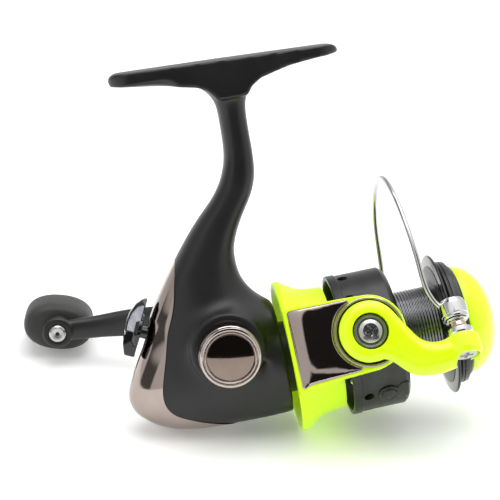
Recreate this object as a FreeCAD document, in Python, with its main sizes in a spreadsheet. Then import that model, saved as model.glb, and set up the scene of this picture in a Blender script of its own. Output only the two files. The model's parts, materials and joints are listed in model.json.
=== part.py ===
import FreeCAD, Part
import math
import os

import Sketcher
from FreeCAD import Placement, Rotation, Vector

# Front-drag spinning reel, millimetres.
# X runs along the main shaft towards the spool, Z points up the stem towards the rod foot,
# -Y is the near side with the screw cap and +Y the far side with the crank handle.
# Dimensions are taken from the point on the main shaft axis straight below the crank axis.
# HOME then moves everything so that the origin is the middle of the rod foot's seat face.

os.makedirs("parts", exist_ok=True)
doc = FreeCAD.newDocument("spinning_reel")
sheet = doc.addObject("Spreadsheet::Sheet", "Sizes")

SIZES = [
    # crank axis height, rest angles of rotor and handle
    ("crank_height", 7.87), ("rotor_angle", 19.0), ("crank_angle", 1.5),
    # main shaft and the running clearance
    ("shaft_rad", 1.5), ("run_gap", 0.06), ("shaft_rear", -15.6), ("shaft_front", 66.0),
    # body
    ("front_wall", 14.0), ("front_boss_rad", 13.5), ("collar_rad", 9.3), ("collar_end", 21.6),
    ("boss_rad", 9.5), ("boss_face", 12.84), ("cavity_half", 9.6), ("foot_width", 14.0),
    # screw cap
    ("cap_rad", 7.85), ("cap_front", 20.06), ("cap_back", 13.1),
    # gears
    ("gear_rad", 12.1), ("gear_inner", 10.0), ("gear_teeth", 31), ("pinion_teeth", 6),
    ("pinion_pitch", 2.6), ("pinion_tip", 3.2), ("pinion_root", 2.15), ("helix_deg", 35.74),
    ("osc_module", 0.7), ("osc_drive_teeth", 10), ("osc_teeth", 16), ("osc_x", -8.3),
    ("crank_throw", 4.0),
    # rotor
    ("rim_rad", 19.77), ("rim_x", 15.0), ("waist_rad", 16.3), ("drum_rad", 15.7),
    ("drum_end", 34.5), ("pivot_x", 34.8), ("arm_half", 9.4), ("arm_inner", 19.2),
    ("arm_outer", 23.3), ("cover_thick", 0.9),
    # spool
    ("skirt_rear", 29.0), ("skirt_front", 44.1), ("skirt_rad", 18.41), ("arbor_rad", 10.6),
    ("flange_x", 56.2), ("flange_rad", 18.5),
    # drag knob
    ("knob_base_rad", 16.3), ("knob_base_x", 57.6), ("dome_x", 61.6), ("dome_rad", 13.6),
    ("dome_tip", 70.4),
    # handle
    ("arm_length", 45.1), ("arm_plane", 46.0), ("hub_rad", 5.2), ("hub_end", 36.3),
    ("fold_y", 33.0), ("knob_near", 49.6), ("knob_far", 73.4), ("knob_half_w", 10.2),
    ("knob_half_t", 6.9), ("axle_rad", 1.8),
    # bail
    ("wire_rad", 0.65), ("roller_rad", 2.9), ("bail_boss_rad", 7.7),
    # middle of the rod foot's seat face
    ("seat_x", 13.45), ("seat_z", 79.225),
]
for row, (name, amount) in enumerate(SIZES, start=1):
    sheet.set("A%d" % row, name)
    sheet.set("B%d" % row, str(amount))
    sheet.setAlias("B%d" % row, name)
doc.recompute()


def size(name):
    return float(getattr(sheet, name))


AXIS_X = (1, 0, 0)
AXIS_Y = (0, 1, 0)
AXIS_Z = (0, 0, 1)
NEAR, FAR = -1, 1       # sign of Y on each side

CRANK_Z = size("crank_height")
RUN_GAP = size("run_gap")
SHAFT_RADIUS = size("shaft_rad")

# The oscillation gear meshes with its driver, so its axis lies on a circle about the crank axis.
OSC_MODULE = size("osc_module")
OSC_DRIVE_TEETH = int(size("osc_drive_teeth"))
OSC_TEETH = int(size("osc_teeth"))
OSC_X = size("osc_x")
OSC_SPACING = OSC_MODULE * (OSC_DRIVE_TEETH + OSC_TEETH) / 2
OSC_Z = CRANK_Z - math.sqrt(OSC_SPACING ** 2 - OSC_X ** 2)

# The anti-reverse lever turns on an axis that leans up and out of the rear cover.
LEVER_BASE = Vector(-20.1, 0, 14.2)
LEVER_AXIS = Vector(-0.896, 0, 0.444)
LEVER_PIN_RADIUS = 1.6

# The line roller's leaning axis at the end of the bail arm, in the rotor's frame.
ROLLER_BASE = Vector(56.6, -26.2, -10.9)
ROLLER_AXIS = Vector(0.0, 0.276, 0.961)

# ---------------------------------------------------------------- placements
HOME = Placement(Vector(-size("seat_x"), 0, -size("seat_z")), Rotation())
MAIN = Placement()
ROTOR = Placement(Vector(0, 0, 0), Rotation(Vector(*AXIS_X), -size("rotor_angle")))
# On the crank axis: GEAR keeps its directions, CRANK turns local X to +Y.
GEAR = Placement(Vector(0, 0, CRANK_Z), Rotation())
CRANK = Placement(Vector(0, 0, CRANK_Z), Rotation(Vector(*AXIS_Z), 90))
OSC_GEAR = Placement(Vector(OSC_X, 0, OSC_Z), Rotation())
OSC_AXLE = Placement(Vector(OSC_X, 0, OSC_Z), Rotation(Vector(*AXIS_Z), 90))
HANDLE = Placement(Vector(0, 0, CRANK_Z), Rotation(Vector(*AXIS_Y), size("crank_angle")))
ROLLER_LOCAL = Placement(ROLLER_BASE, Rotation(Vector(*AXIS_X), ROLLER_AXIS))
ROLLER = ROTOR.multiply(ROLLER_LOCAL)

# ---------------------------------------------------------------- adding pieces
PIECES = []


def terms(expression):
    """Split a sum such as "cap_rad-0.5" into its words and signs."""
    return expression.replace("-", " - ").replace("+", " + ").split()


def is_number(word):
    return word[0].isdigit() or word[0] == "."


def evaluate(coordinate):
    """A number, or a sum over the sheet's names."""
    if not isinstance(coordinate, str):
        return float(coordinate)
    total, sign = 0.0, 1.0
    for word in terms(coordinate):
        if word in "+-":
            sign = -1.0 if word == "-" else 1.0
        else:
            total += sign * (float(word) if is_number(word) else size(word))
    return total


def sheet_expression(coordinate):
    return " ".join(w if w in "+-" or is_number(w) else "Sizes." + w
                    for w in terms(coordinate))


def profile_sketch(body, name, points):
    """A closed polygon on the XZ plane, each corner held to its coordinates."""
    sketch = body.newObject("Sketcher::SketchObject", name)
    plane = next(f for f in body.Origin.OriginFeatures if f.Role == "XZ_Plane")
    sketch.AttachmentSupport = [(plane, "")]
    sketch.MapMode = "FlatFace"
    corners = [(evaluate(x), evaluate(radius)) for x, radius in points]
    count = len(corners)
    for i in range(count):
        start, end = corners[i], corners[(i + 1) % count]
        sketch.addGeometry(Part.LineSegment(Vector(*start, 0), Vector(*end, 0)), False)
    for i in range(count):
        sketch.addConstraint(Sketcher.Constraint("Coincident", i, 2, (i + 1) % count, 1))
    for i in range(count):
        for k, kind in enumerate(("DistanceX", "DistanceY")):
            index = sketch.addConstraint(
                Sketcher.Constraint(kind, -1, 1, i, 1, corners[i][k]))
            if isinstance(points[i][k], str):
                sketch.setExpression("Constraints[%d]" % index, sheet_expression(points[i][k]))
    return sketch


def add_turned(label, points, place=MAIN):
    """A closed profile of (x, radius) revolved about local X."""
    body = doc.addObject("PartDesign::Body", label)
    body.Label = label
    sketch = profile_sketch(body, label + "_profile", points)
    turn = body.newObject("PartDesign::Revolution", label + "_turn")
    turn.Profile = (sketch, [""])
    turn.ReferenceAxis = (sketch, ["H_Axis"])
    turn.Angle = 360.0
    body.Tip = turn
    body.Placement = HOME.multiply(place)
    PIECES.append(body)


def add_shape(label, shape, place=MAIN):
    piece = doc.addObject("Part::Feature", label)
    piece.Label = label
    piece.Shape = shape
    piece.Placement = HOME.multiply(place)
    PIECES.append(piece)


def add_solid(label, shape, place=MAIN):
    add_shape(label, biggest(shape), place)


def add_group(label, shapes, place=MAIN):
    add_shape(label, Part.makeCompound(shapes), place)


# ---------------------------------------------------------------- shape helpers
def cylinder(radius, base, direction, length):
    return Part.makeCylinder(radius, length, Vector(*base), Vector(*direction))


def rod_x(radius, x, length):
    """A cylinder on the X axis."""
    return cylinder(radius, (x, 0, 0), AXIS_X, length)


def rod_y(radius, base, length):
    return cylinder(radius, base, AXIS_Y, length)


def rod_out(side, radius, x, y, length):
    """A cylinder that points away from the XZ plane, y from it on the given side."""
    return cylinder(radius, (x, side * y, 0), (0, side, 0), length)


def box(length_x, length_y, length_z, x, y, z):
    return Part.makeBox(length_x, length_y, length_z, Vector(x, y, z))


def polygon(points):
    return Part.makePolygon(points + [points[0]])


def closed_spline(points):
    curve = Part.BSplineCurve()
    curve.interpolate(points, PeriodicFlag=True)
    return Part.Wire([curve.toShape()])


def revolve(points):
    """A solid from (x, radius) points turned about X."""
    face = Part.Face(polygon([Vector(x, 0, radius) for x, radius in points]))
    return face.revolve(Vector(0, 0, 0), Vector(*AXIS_X), 360)


def prism_xz(points, y_start, y_end):
    face = Part.Face(polygon([Vector(x, y_start, z) for x, z in points]))
    return face.extrude(Vector(0, y_end - y_start, 0))


def prism_xy(points, z_start, z_end):
    face = Part.Face(polygon([Vector(x, y, z_start) for x, y in points]))
    return face.extrude(Vector(0, 0, z_end - z_start))


def fuse(first, *others):
    result = first
    for other in others:
        result = result.fuse(other)
    return result.removeSplitter()


def biggest(shape):
    return sorted(shape.Solids, key=lambda s: -s.Volume)[0]


def rotated(shape, axis, degrees):
    """The largest solid, turned about an axis through the origin."""
    turn = Placement(Vector(0, 0, 0), Rotation(Vector(*axis), degrees))
    return biggest(shape).transformed(turn.toMatrix(), True)


def full_turn(count):
    return [2 * math.pi * k / count for k in range(count)]


def polar(radius, angle):
    return radius * math.cos(angle), radius * math.sin(angle)


def half_ellipse(center_x, radius_x, radius_y, start, steps):
    """Points over half a turn from the start angle."""
    angles = [start + math.pi * k / steps for k in range(steps + 1)]
    return [(center_x + radius_x * math.cos(a), radius_y * math.sin(a)) for a in angles]


def squircle(angle, power):
    """A point of a unit oval; powers below 1 square it off."""
    cosine, sine = math.cos(angle), math.sin(angle)
    return (math.copysign(abs(cosine) ** power, cosine),
            math.copysign(abs(sine) ** power, sine))


def ring(x_start, x_end, outer, bore):
    return [(x_start, bore), (x_end, bore), (x_end, outer), (x_start, outer)]


# ---------------------------------------------------------------- plain turned rings
BEARING_RADIUS = 6.5
# label, x start, x end, outer radius, bore radius, placement
RINGS = [
    ("drive_bearing_near", -12.1, -9.1, BEARING_RADIUS, 4.0, CRANK),
    ("drive_bearing_far", 9.1, 12.1, BEARING_RADIUS, 4.0, CRANK),
    ("pinion_bearing", 13.2, 16.4, 5.5, "pinion_tip-0.25+run_gap", MAIN),
    ("clutch_housing", 17.1, 21.2, 8.0, 5.75, MAIN),
    ("clutch_retainer", 21.25, 21.6, 7.95, 4.6, MAIN),
    ("clutch_sleeve", 17.0, 21.3, 4.08, 2.95, MAIN),
    ("roller_bushing", 5.22, 9.72, 1.5, 1.0, ROLLER),
    ("click_ring", 40.2, 41.35, 5.6, 2.8, MAIN),
    ("spool_shims", 38.65, 39.2, 4.8, 2.75, MAIN),
    ("drag_retainer", 53.9, 54.5, 9.2, 8.5, MAIN),
    ("drag_pressure_plate", 54.6, 55.6, 8.3, 2.9, MAIN),
    ("drag_nut", "knob_base_x+5.25", "knob_base_x+7.2", 3.6, "shaft_rad+run_gap", MAIN),
]
for label, x_start, x_end, outer, bore, place in RINGS:
    add_turned(label, ring(x_start, x_end, outer, bore), place)

# ---------------------------------------------------------------- body
# z, rear x, front x, half width
BODY_STATIONS = [
    (-13.45, -8.5, 16.0, 4.6), (-12.7, -15.5, 16.0, 7.2), (-11.2, -20.2, 16.0, 9.0),
    (-8.5, -24.1, 16.0, 10.6), (-5.0, -27.0, 16.0, 11.6), (-2.0, -27.5, 16.0, 12.0),
    (3.0, -25.4, 16.0, 12.1), (8.0, -22.7, 16.0, 11.7), (12.0, -20.2, 16.0, 11.0),
    (15.0, -19.0, 14.0, 10.2), (18.0, -17.7, 10.6, 9.4), (21.5, -15.5, 8.2, 8.5),
    (25.0, -13.1, 7.0, 7.7), (30.0, -9.4, 6.8, 6.9), (35.0, -5.4, 8.4, 6.2),
    (40.0, -1.0, 11.2, 5.6), (45.0, 4.2, 14.5, 5.0), (50.0, 7.5, 16.1, 4.6),
    (56.0, 9.25, 16.5, 4.3), (62.0, 9.6, 16.55, 4.3), (67.5, 9.7, 17.0, 4.6),
    (70.5, 8.9, 18.3, 5.1), (73.5, 6.2, 22.6, 5.7), (76.2, 1.5, 28.0, 6.0),
]
# side outline of the rod foot, (x, z): flat seat on top, drooping underside
FOOT_SIDE = [
    (-15.9, 79.2), (-15.25, 80.3), (-13.7, 80.73), (40.6, 77.72), (42.3, 76.6), (42.5, 75.3),
    (36.0, 75.15), (29.5, 74.7), (25.0, 73.8), (21.6, 73.0), (19.2, 71.6), (17.6, 69.5),
    (9.9, 69.5), (9.2, 70.8), (7.8, 72.5), (5.5, 73.7), (-2.0, 75.4), (-9.0, 76.6),
    (-15.6, 77.6),
]
# side outline of the gear room, (x, z)
ROOM_OUTLINE = [
    (12.4, -11.2), (12.4, 12.6), (9.0, 15.2), (4.5, 19.6), (-3.0, 21.0), (-9.0, 21.0),
    (-14.0, 17.0), (-17.6, 12.0), (-21.0, 6.5), (-23.4, 1.0), (-23.6, -3.0), (-20.6, -7.6),
    (-15.0, -10.4), (-6.0, -11.5),
]
# curved seam in front of the rear cover, (x, z) from the top down
SEAM = [
    (-6.7, 35.3), (-8.4, 31.1), (-10.1, 24.7), (-11.9, 18.8), (-13.8, 14.6), (-15.5, 9.0),
    (-17.4, 3.0), (-18.2, -0.3), (-18.3, -2.4), (-17.7, -4.7), (-16.1, -6.8), (-13.0, -8.6),
    (-9.1, -10.4), (-3.0, -12.6), (2.0, -14.4),
]
# outline of the side plate on the handle side, (x, z)
PLATE_OUTLINE = [
    (12.2, -11.0), (12.0, 9.0), (8.6, 15.0), (4.6, 23.0), (0.5, 26.6), (-5.0, 27.4),
    (-8.6, 25.2), (-11.3, 16.5), (-14.0, 9.0), (-16.4, 2.0), (-16.4, -3.4), (-15.0, -7.0),
    (-11.0, -10.2), (0.0, -11.6),
]
PLATE_Y = 7.2                                           # inner face of the side plate
PLATE_SCREWS = [(9.2, -8.0), (-9.0, -7.4), (-3.8, 23.4)]        # (x, z)
SCREW_START_Y, SCREW_HEAD_Y = -3.0, 8.6
SCREW_RADIUS = 1.0


def station_wire(z, x_rear, x_front, half_width, inset=0.0):
    """One level section: rounder at the rear, squarer at the front of the gear case."""
    x_rear += inset
    x_front -= inset
    half_width -= inset
    x_middle = 0.5 * (x_rear + x_front) + (2.0 if z < 16 else 0.0)
    points = []
    for angle in full_turn(28):
        forward = math.cos(angle) >= 0
        reach = (x_front - x_middle) if forward else (x_middle - x_rear)
        if forward and z < 15:
            exponent = 4.0
        else:
            exponent = 2.1 if z < 22 else 2.5
        along, across = squircle(angle, 2.0 / exponent)
        points.append(Vector(x_middle + reach * along, half_width * across, z))
    return closed_spline(points)


def inset_loft(count, bottom_z, inset):
    """The lowest stations moved inwards, with a raised bottom."""
    stations = [(bottom_z,) + BODY_STATIONS[0][1:]] + BODY_STATIONS[1:count]
    return Part.makeLoft([station_wire(*s, inset) for s in stations], True, False)


def rod_foot():
    """The side outline trimmed to a plan with rounded tips."""
    half_width = size("foot_width") / 2
    tip_half_width = 0.78 * half_width
    plan = half_ellipse(36.6, 6.0, tip_half_width, -math.pi / 2, 24)
    plan.append((14.0, half_width))
    plan += half_ellipse(-10.2, 5.8, tip_half_width, math.pi / 2, 24)
    plan.append((14.0, -half_width))
    return prism_xz(FOOT_SIDE, -9, 9).common(prism_xy(plan, 60, 90))


def crank_boss(side, height=5.0):
    base = Vector(0, side * (size("boss_face") - height), CRANK_Z)
    return Part.makeCone(12.4, size("boss_rad"), height, base, Vector(0, side, 0))


def body_blank():
    """The whole hollow body before it is split into housing and covers."""
    front_wall = size("front_wall")
    blank = Part.makeLoft([station_wire(*s) for s in BODY_STATIONS], True, False)
    blank = biggest(blank.cut(box(60, 80, 40, front_wall, -40, -20)))
    front_boss = rod_x(size("front_boss_rad"), 9, front_wall - 9)
    collar = rod_x(size("collar_rad"), front_wall - 1, size("collar_end") - front_wall + 1)
    for piece in (front_boss, crank_boss(NEAR), crank_boss(FAR), collar, rod_foot()):
        blank = blank.fuse(piece)
    blank = biggest(blank)

    cavity_half = size("cavity_half")
    room = prism_xz(ROOM_OUTLINE, -cavity_half, cavity_half)
    room = room.common(inset_loft(14, -12.0, 1.7))
    room = room.fuse(rod_y(12.7, (0, 1.6, CRANK_Z), 5.6))
    blank = blank.cut(room)
    # openings for the pinion bearing and the clutch
    blank = blank.cut(rod_x(5.5, 10, 7.5)).cut(rod_x(8.0, 17.0, 10))
    # crank bore and the seats of its two bearings
    blank = blank.cut(rod_y(5.6, (0, -20, CRANK_Z), 40))
    for seat_y in (-12.2, 4.2):
        blank = blank.cut(rod_y(BEARING_RADIUS, (0, seat_y, CRANK_Z), 8))
    return blank


def rear_cover(blank, rear_zone):
    """A shell behind the seam, with a hole for the lever's pin."""
    shell = biggest(blank.common(rear_zone).cut(inset_loft(15, -12.3, 1.25)))
    pin_hole = cylinder(LEVER_PIN_RADIUS + RUN_GAP, LEVER_BASE - LEVER_AXIS * 6, LEVER_AXIS, 20)
    return shell.cut(pin_hole)


def side_cover(front_body, plate_zone):
    cover = biggest(front_body.common(plate_zone))
    for x, z in PLATE_SCREWS:
        cover = cover.cut(rod_y(2.1, (x, SCREW_HEAD_Y, z), 10)).cut(rod_y(1.15, (x, 0, z), 20))
    return cover


def body_housing(front_body, plate_zone):
    """The main casting with screw posts and a boss for the oscillation axle."""
    housing = biggest(front_body.cut(plate_zone))
    for x, z in PLATE_SCREWS:
        housing = housing.fuse(rod_y(2.2, (x, -6.6, z), 13.78))
        housing = housing.cut(rod_y(SCREW_RADIUS, (x, SCREW_START_Y, z), 14))
    housing = housing.fuse(rod_y(2.45, (OSC_X, -9.6, OSC_Z), 1.85))
    return housing.cut(rod_y(2.0, (OSC_X, -9.4, OSC_Z), 5)).removeSplitter()


def side_cover_screw(x, z):
    shank = rod_y(SCREW_RADIUS, (x, SCREW_START_Y, z), SCREW_HEAD_Y - SCREW_START_Y)
    return fuse(shank, rod_y(1.95, (x, SCREW_HEAD_Y, z), 1.2))


blank = body_blank()
rear_zone = prism_xz([(-60, 60), (-13.0, 60), (-6.2, 37.0)] + SEAM + [(2.0, -40), (-60, -40)],
                     -40, 40)
front_body = biggest(blank.cut(rear_zone))
plate_zone = prism_xz(PLATE_OUTLINE, PLATE_Y, 30)
add_solid("body_housing", body_housing(front_body, plate_zone))
add_solid("side_cover", side_cover(front_body, plate_zone))
add_shape("rear_cover", rear_cover(blank, rear_zone))
add_group("side_cover_screws", [side_cover_screw(x, z) for x, z in PLATE_SCREWS])

# ---------------------------------------------------------------- clutch rollers
add_group("clutch_rollers", [
    cylinder(0.78, (17.4, *polar(4.9, angle + math.radians(10))), AXIS_X, 3.4)
    for angle in full_turn(6)])

# ---------------------------------------------------------------- pinion and drive gear
HELIX = math.radians(size("helix_deg"))
PINION_TEETH = int(size("pinion_teeth"))
PINION_TWIST = -math.tan(HELIX) / size("pinion_pitch")      # radians per mm along X
PINION_START, PINION_END = 4.7, 11.9
PINION_SECTIONS = 12
MESH_X = 7.76                       # a tooth gap faces +Y here
TIP_HALF_ANGLE, ROOT_HALF_ANGLE = 0.085, 0.235
TOOTH_TIP_Y, TOOTH_BASE_Y = 2.42, 3.7


def pinion_wire(x, phase):
    tip, root = size("pinion_tip"), size("pinion_root")
    points = []
    for angle in full_turn(PINION_TEETH):
        center = angle + phase
        for radius, offset in ((root, -ROOT_HALF_ANGLE), (tip, -TIP_HALF_ANGLE),
                               (tip, TIP_HALF_ANGLE), (root, ROOT_HALF_ANGLE)):
            points.append(Vector(x, *polar(radius, center + offset)))
    return polygon(points)


def pinion_gear():
    start_phase = math.pi / PINION_TEETH - PINION_TWIST * MESH_X
    wires = []
    for k in range(PINION_SECTIONS + 1):
        x = PINION_START + (PINION_END - PINION_START) * k / PINION_SECTIONS
        wires.append(pinion_wire(x, start_phase + PINION_TWIST * x))
    teeth = Part.makeLoft(wires, True, True)
    core = revolve([(11.85, 0.5), (26.9, 0.5), (26.9, 2.55), (21.7, 2.55), (21.7, 2.95),
                    (11.85, 2.95)])
    return fuse(teeth, core).cut(rod_x(SHAFT_RADIUS + RUN_GAP, 0, 40))


def face_gear_tooth():
    """A tooth on the disc's face that follows the pinion's helix where they meet."""
    mesh_radius = (size("gear_rad") + size("gear_inner")) / 2
    mesh_x = math.sqrt(mesh_radius ** 2 - CRANK_Z ** 2)
    along = Vector(math.cos(HELIX), 0, -math.sin(HELIX))
    across = Vector(math.sin(HELIX), 0, math.cos(HELIX))

    def section(y, half_length, half_thick):
        center = Vector(mesh_x, y, -CRANK_Z)
        return polygon([center + along * i * half_length + across * j * half_thick
                        for i, j in ((-1, -1), (1, -1), (1, 1), (-1, 1))])

    return Part.makeLoft([section(TOOTH_TIP_Y, 0.9, 0.15), section(TOOTH_BASE_Y, 1.05, 0.42)],
                         True, True)


def drive_gear():
    disc = rod_y(size("gear_rad") + 0.2, (0, TOOTH_BASE_Y - 0.1, 0), 2.4)
    disc = disc.cut(rod_y(9.2, (0, 0, 0), 4.6))
    first_tooth = face_gear_tooth()
    count = int(size("gear_teeth"))
    teeth = []
    for k in range(count):
        tooth = first_tooth.copy()
        tooth.rotate(Vector(0, 0, 0), Vector(*AXIS_Y), 360.0 * k / count)
        teeth.append(tooth)
    gear = fuse(disc.multiFuse(teeth), rod_y(4.6, (0, 2.6, 0), 3.6))
    gear = gear.cut(rod_y(2.5, (0, -10, 0), 30))
    for angle in full_turn(5):
        x, z = polar(6.9, angle)
        gear = gear.cut(rod_y(1.3, (x, 0, z), 10))
    return gear


add_solid("pinion_gear", pinion_gear())
add_solid("drive_gear", drive_gear(), GEAR)

# hollow crank shaft, thicker where the two bearings sit
add_turned("drive_shaft", [
    (-12.6, 1.2), (12.6, 1.2), (12.6, "4.0-run_gap"), (8.9, "4.0-run_gap"), (8.9, 2.5),
    (-8.9, 2.5), (-8.9, "4.0-run_gap"), (-12.6, "4.0-run_gap")], CRANK)

# ---------------------------------------------------------------- oscillation
SPUR_Y, SPUR_THICK = -7.6, 2.0
# from the crank axis to the oscillation axis, in the XZ plane
OSC_DIRECTION = math.degrees(math.atan2(OSC_Z - CRANK_Z, OSC_X))
# The eccentric pin stands just off its rear dead centre.
THROW = size("crank_throw")
PIN_ANGLE = math.acos((THROW - 1.0) / THROW)
PIN_X, PIN_Z = -THROW * math.cos(PIN_ANGLE), THROW * math.sin(PIN_ANGLE)
BLOCK_X = OSC_X + PIN_X


def spur_gear(teeth, bore):
    pitch_radius = teeth * OSC_MODULE / 2
    tip = pitch_radius + 0.85 * OSC_MODULE
    root = pitch_radius - 1.2 * OSC_MODULE
    pitch = 2 * math.pi / teeth
    points = []
    for center in full_turn(teeth):
        for radius, share in ((root, -0.33), (tip, -0.09), (tip, 0.09), (root, 0.33)):
            points.append(polar(radius, center + share * pitch))
    gear = prism_xz(points, SPUR_Y, SPUR_Y + SPUR_THICK)
    return gear.cut(rod_y(bore, (0, SPUR_Y - 1, 0), SPUR_THICK + 2))


def oscillation_gear():
    # half a tooth on from the driver, so that a gap meets its tooth
    gear = rotated(spur_gear(OSC_TEETH, 1.3), AXIS_Y, -OSC_DIRECTION + 180 + 180.0 / OSC_TEETH)
    collar = rod_y(2.4, (0, -5.7, 0), 0.45).cut(rod_y(1.3, (0, -9, 0), 6))
    return fuse(gear, rod_y(0.9, (PIN_X, -5.8, PIN_Z), 0.75), collar)


def crosswind_block():
    """A slotted plate on a sleeve clamped to the main shaft."""
    block = box(3.3, 1.7, 12.6, BLOCK_X - 1.65, -4.5, -3.0)
    block = block.fuse(rod_x(2.3, BLOCK_X - 2.5, 5.0))
    block = block.fuse(box(3.3, 4.4, 4.4, BLOCK_X - 1.65, -4.5, -2.2))
    block = block.cut(rod_x(SHAFT_RADIUS, BLOCK_X - 10, 20))
    return block.cut(box(2.1, 1.0, 8.4, BLOCK_X - 1.05, -4.9, 0.6)).removeSplitter()


# a tooth of the driver points at the other axis
add_solid("oscillation_pinion", rotated(spur_gear(OSC_DRIVE_TEETH, 2.5), AXIS_Y, -OSC_DIRECTION),
          GEAR)
add_solid("oscillation_gear", oscillation_gear(), OSC_GEAR)
add_turned("oscillation_axle", [
    (-9.4, 0), (-9.4, 2.0), (-7.75, 2.0), (-7.75, 1.24), (-5.0, 1.24), (-5.0, 0)], OSC_AXLE)
add_turned("main_shaft", [
    ("shaft_rear", 0), ("shaft_rear", "shaft_rad"), ("shaft_front", "shaft_rad"),
    ("shaft_front+0.5", "shaft_rad-0.5"), ("shaft_front+0.5", 0)])
add_solid("crosswind_block", crosswind_block())
add_turned("crosswind_screw", [
    (3.0, 0), (3.0, 0.8), (3.05, 0.8), (3.05, 1.7), (4.2, 1.7), (4.2, 0)],
    Placement(Vector(BLOCK_X, 0, 0), Rotation(Vector(*AXIS_X), Vector(0, 0, -1))))

# ---------------------------------------------------------------- cap and handle
FOLD_Y = size("fold_y")
ARM_LENGTH, ARM_PLANE = size("arm_length"), size("arm_plane")
AXLE_RADIUS = size("axle_rad")
KNOB_NEAR, KNOB_FAR = size("knob_near"), size("knob_far")
# x, centre y, half depth in y, half width in z, centre z
ARM_SECTIONS = [
    (-6.2, FOLD_Y + 0.8, 3.1, 3.1, 0.0), (-10.0, FOLD_Y + 3.2, 2.9, 3.7, -0.25),
    (-16.0, ARM_PLANE - 5.6, 2.7, 3.9, -0.6), (-24.0, ARM_PLANE - 2.1, 2.5, 3.85, -0.75),
    (-34.0, ARM_PLANE - 0.5, 2.35, 3.2, -0.5), (-ARM_LENGTH + 1.0, ARM_PLANE, 2.1, 2.9, 0.0),
]
# y, share of the half width in x, share of the half thickness in z
KNOB_SECTIONS = [
    (KNOB_NEAR, 0.80, 0.78), (KNOB_NEAR + 1.2, 0.93, 0.93), (KNOB_NEAR + 5.0, 1.0, 1.0),
    (KNOB_NEAR + 12.0, 1.0, 0.98), (KNOB_FAR - 5.0, 0.98, 0.9), (KNOB_FAR - 1.3, 0.9, 0.78),
    (KNOB_FAR, 0.74, 0.6),
]


def handle_hub():
    """A stem along Y whose end is slotted for the folding arm."""
    radius, end = size("hub_rad"), size("hub_end")
    hub = revolve([(13.1, 0), (13.1, 5.6), (14.6, 5.6), (15.6, radius), (end - 0.7, radius),
                   (end, 4.5), (end, 0)])
    hub.rotate(Vector(0, 0, 0), Vector(*AXIS_Z), 90)
    hub = hub.fuse(rod_y(2.0, (0, 12.62, 0), 1.0))
    hub = hub.cut(box(14, 11, 5.0, -8, FOLD_Y - 4.6, -2.5))
    return hub.cut(cylinder(1.0, (0, FOLD_Y, -10), AXIS_Z, 20)).removeSplitter()


def handle_arm():
    tongue = cylinder(3.6, (0, FOLD_Y, -2.4), AXIS_Z, 4.8)
    tongue = tongue.fuse(box(7.0, 6.4, 4.8, -7.0, FOLD_Y - 3.2, -2.4))
    wires = []
    for x, center_y, half_y, half_z, center_z in ARM_SECTIONS:
        ovals = [squircle(angle, 0.75) for angle in full_turn(20)]
        wires.append(closed_spline([Vector(x, center_y + half_y * u, center_z + half_z * v)
                                    for u, v in ovals]))
    arm = Part.makeLoft(wires, True, False)
    eye = rod_y(4.3, (-ARM_LENGTH, ARM_PLANE - 2.7, 0), 5.2)
    arm = fuse(tongue, arm, eye).cut(cylinder(1.06, (0, FOLD_Y, -10), AXIS_Z, 20))
    return arm.cut(rod_y(AXLE_RADIUS, (-ARM_LENGTH, ARM_PLANE - 6, 0), 12))


def handle_knob():
    """Paddle grip, bored for its axle."""
    wires = []
    for y, width_share, thick_share in KNOB_SECTIONS:
        half_x = width_share * size("knob_half_w")
        half_z = thick_share * size("knob_half_t")
        ovals = [squircle(angle, 0.88) for angle in full_turn(24)]
        wires.append(closed_spline([Vector(half_x * u, y, half_z * v) for u, v in ovals]))
    knob = Part.makeLoft(wires, True, False)
    knob = knob.cut(rod_y(AXLE_RADIUS + RUN_GAP, (0, 0, 0), KNOB_FAR - 3.0))
    return knob.cut(rod_y(2.5, (0, KNOB_FAR - 4.2, 0), 1.2))


def on_handle(x, y, rotation):
    return HANDLE.multiply(Placement(Vector(x, y, 0), rotation))


add_turned("handle_cap", [
    ("-cap_front+0.5", 0), ("-cap_front+0.5", 6.0), ("-cap_front", 6.2),
    ("-cap_front", "cap_rad-0.5"), ("-cap_front+0.5", "cap_rad-0.1"),
    ("-cap_front+1.4", "cap_rad-0.1"), ("-cap_front+1.5", "cap_rad"), ("-cap_back", "cap_rad"),
    ("-cap_back", 1.15), (11.0, 1.15), (11.0, 0)], CRANK)
add_turned("cap_disc", [
    ("-cap_front+0.05", 0), ("-cap_front+0.05", 5.7), ("-cap_front+0.48", 5.9),
    ("-cap_front+0.48", 0)], CRANK)
add_solid("handle_hub", handle_hub(), HANDLE)
add_turned("fold_pin", [(-4.4, 0), (-4.4, 1.0), (4.4, 1.0), (4.4, 0)],
           on_handle(0, FOLD_Y, Rotation(Vector(*AXIS_X), Vector(*AXIS_Z))))
add_solid("handle_arm", handle_arm(), HANDLE)
add_turned("knob_axle", [
    ("arm_plane-3.3", 0), ("arm_plane-3.3", 2.3), ("arm_plane-2.72", 2.3),
    ("arm_plane-2.72", "axle_rad"), ("arm_plane+2.55", "axle_rad"), ("arm_plane+2.55", 2.9),
    ("arm_plane+3.2", 2.9), ("arm_plane+3.2", "axle_rad"), ("knob_far-4.0", "axle_rad"),
    ("knob_far-4.0", 2.4), ("knob_far-3.2", 2.4), ("knob_far-3.2", 0)],
    on_handle(-ARM_LENGTH, 0, Rotation(Vector(*AXIS_Z), 90)))
# the knob rests with its long side tilted
add_solid("handle_knob", handle_knob(),
          on_handle(-ARM_LENGTH, 0, Rotation(Vector(*AXIS_Y), 16.0)))

# ---------------------------------------------------------------- rotor
PIVOT_X = size("pivot_x")
ARM_OUTER = size("arm_outer")
SPOOL_CLEARANCE_RADIUS = 18.95
PEG_X, PEG_RADIUS = 21.0, 0.8
PIVOT_BORE_RADIUS = 0.95
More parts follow.
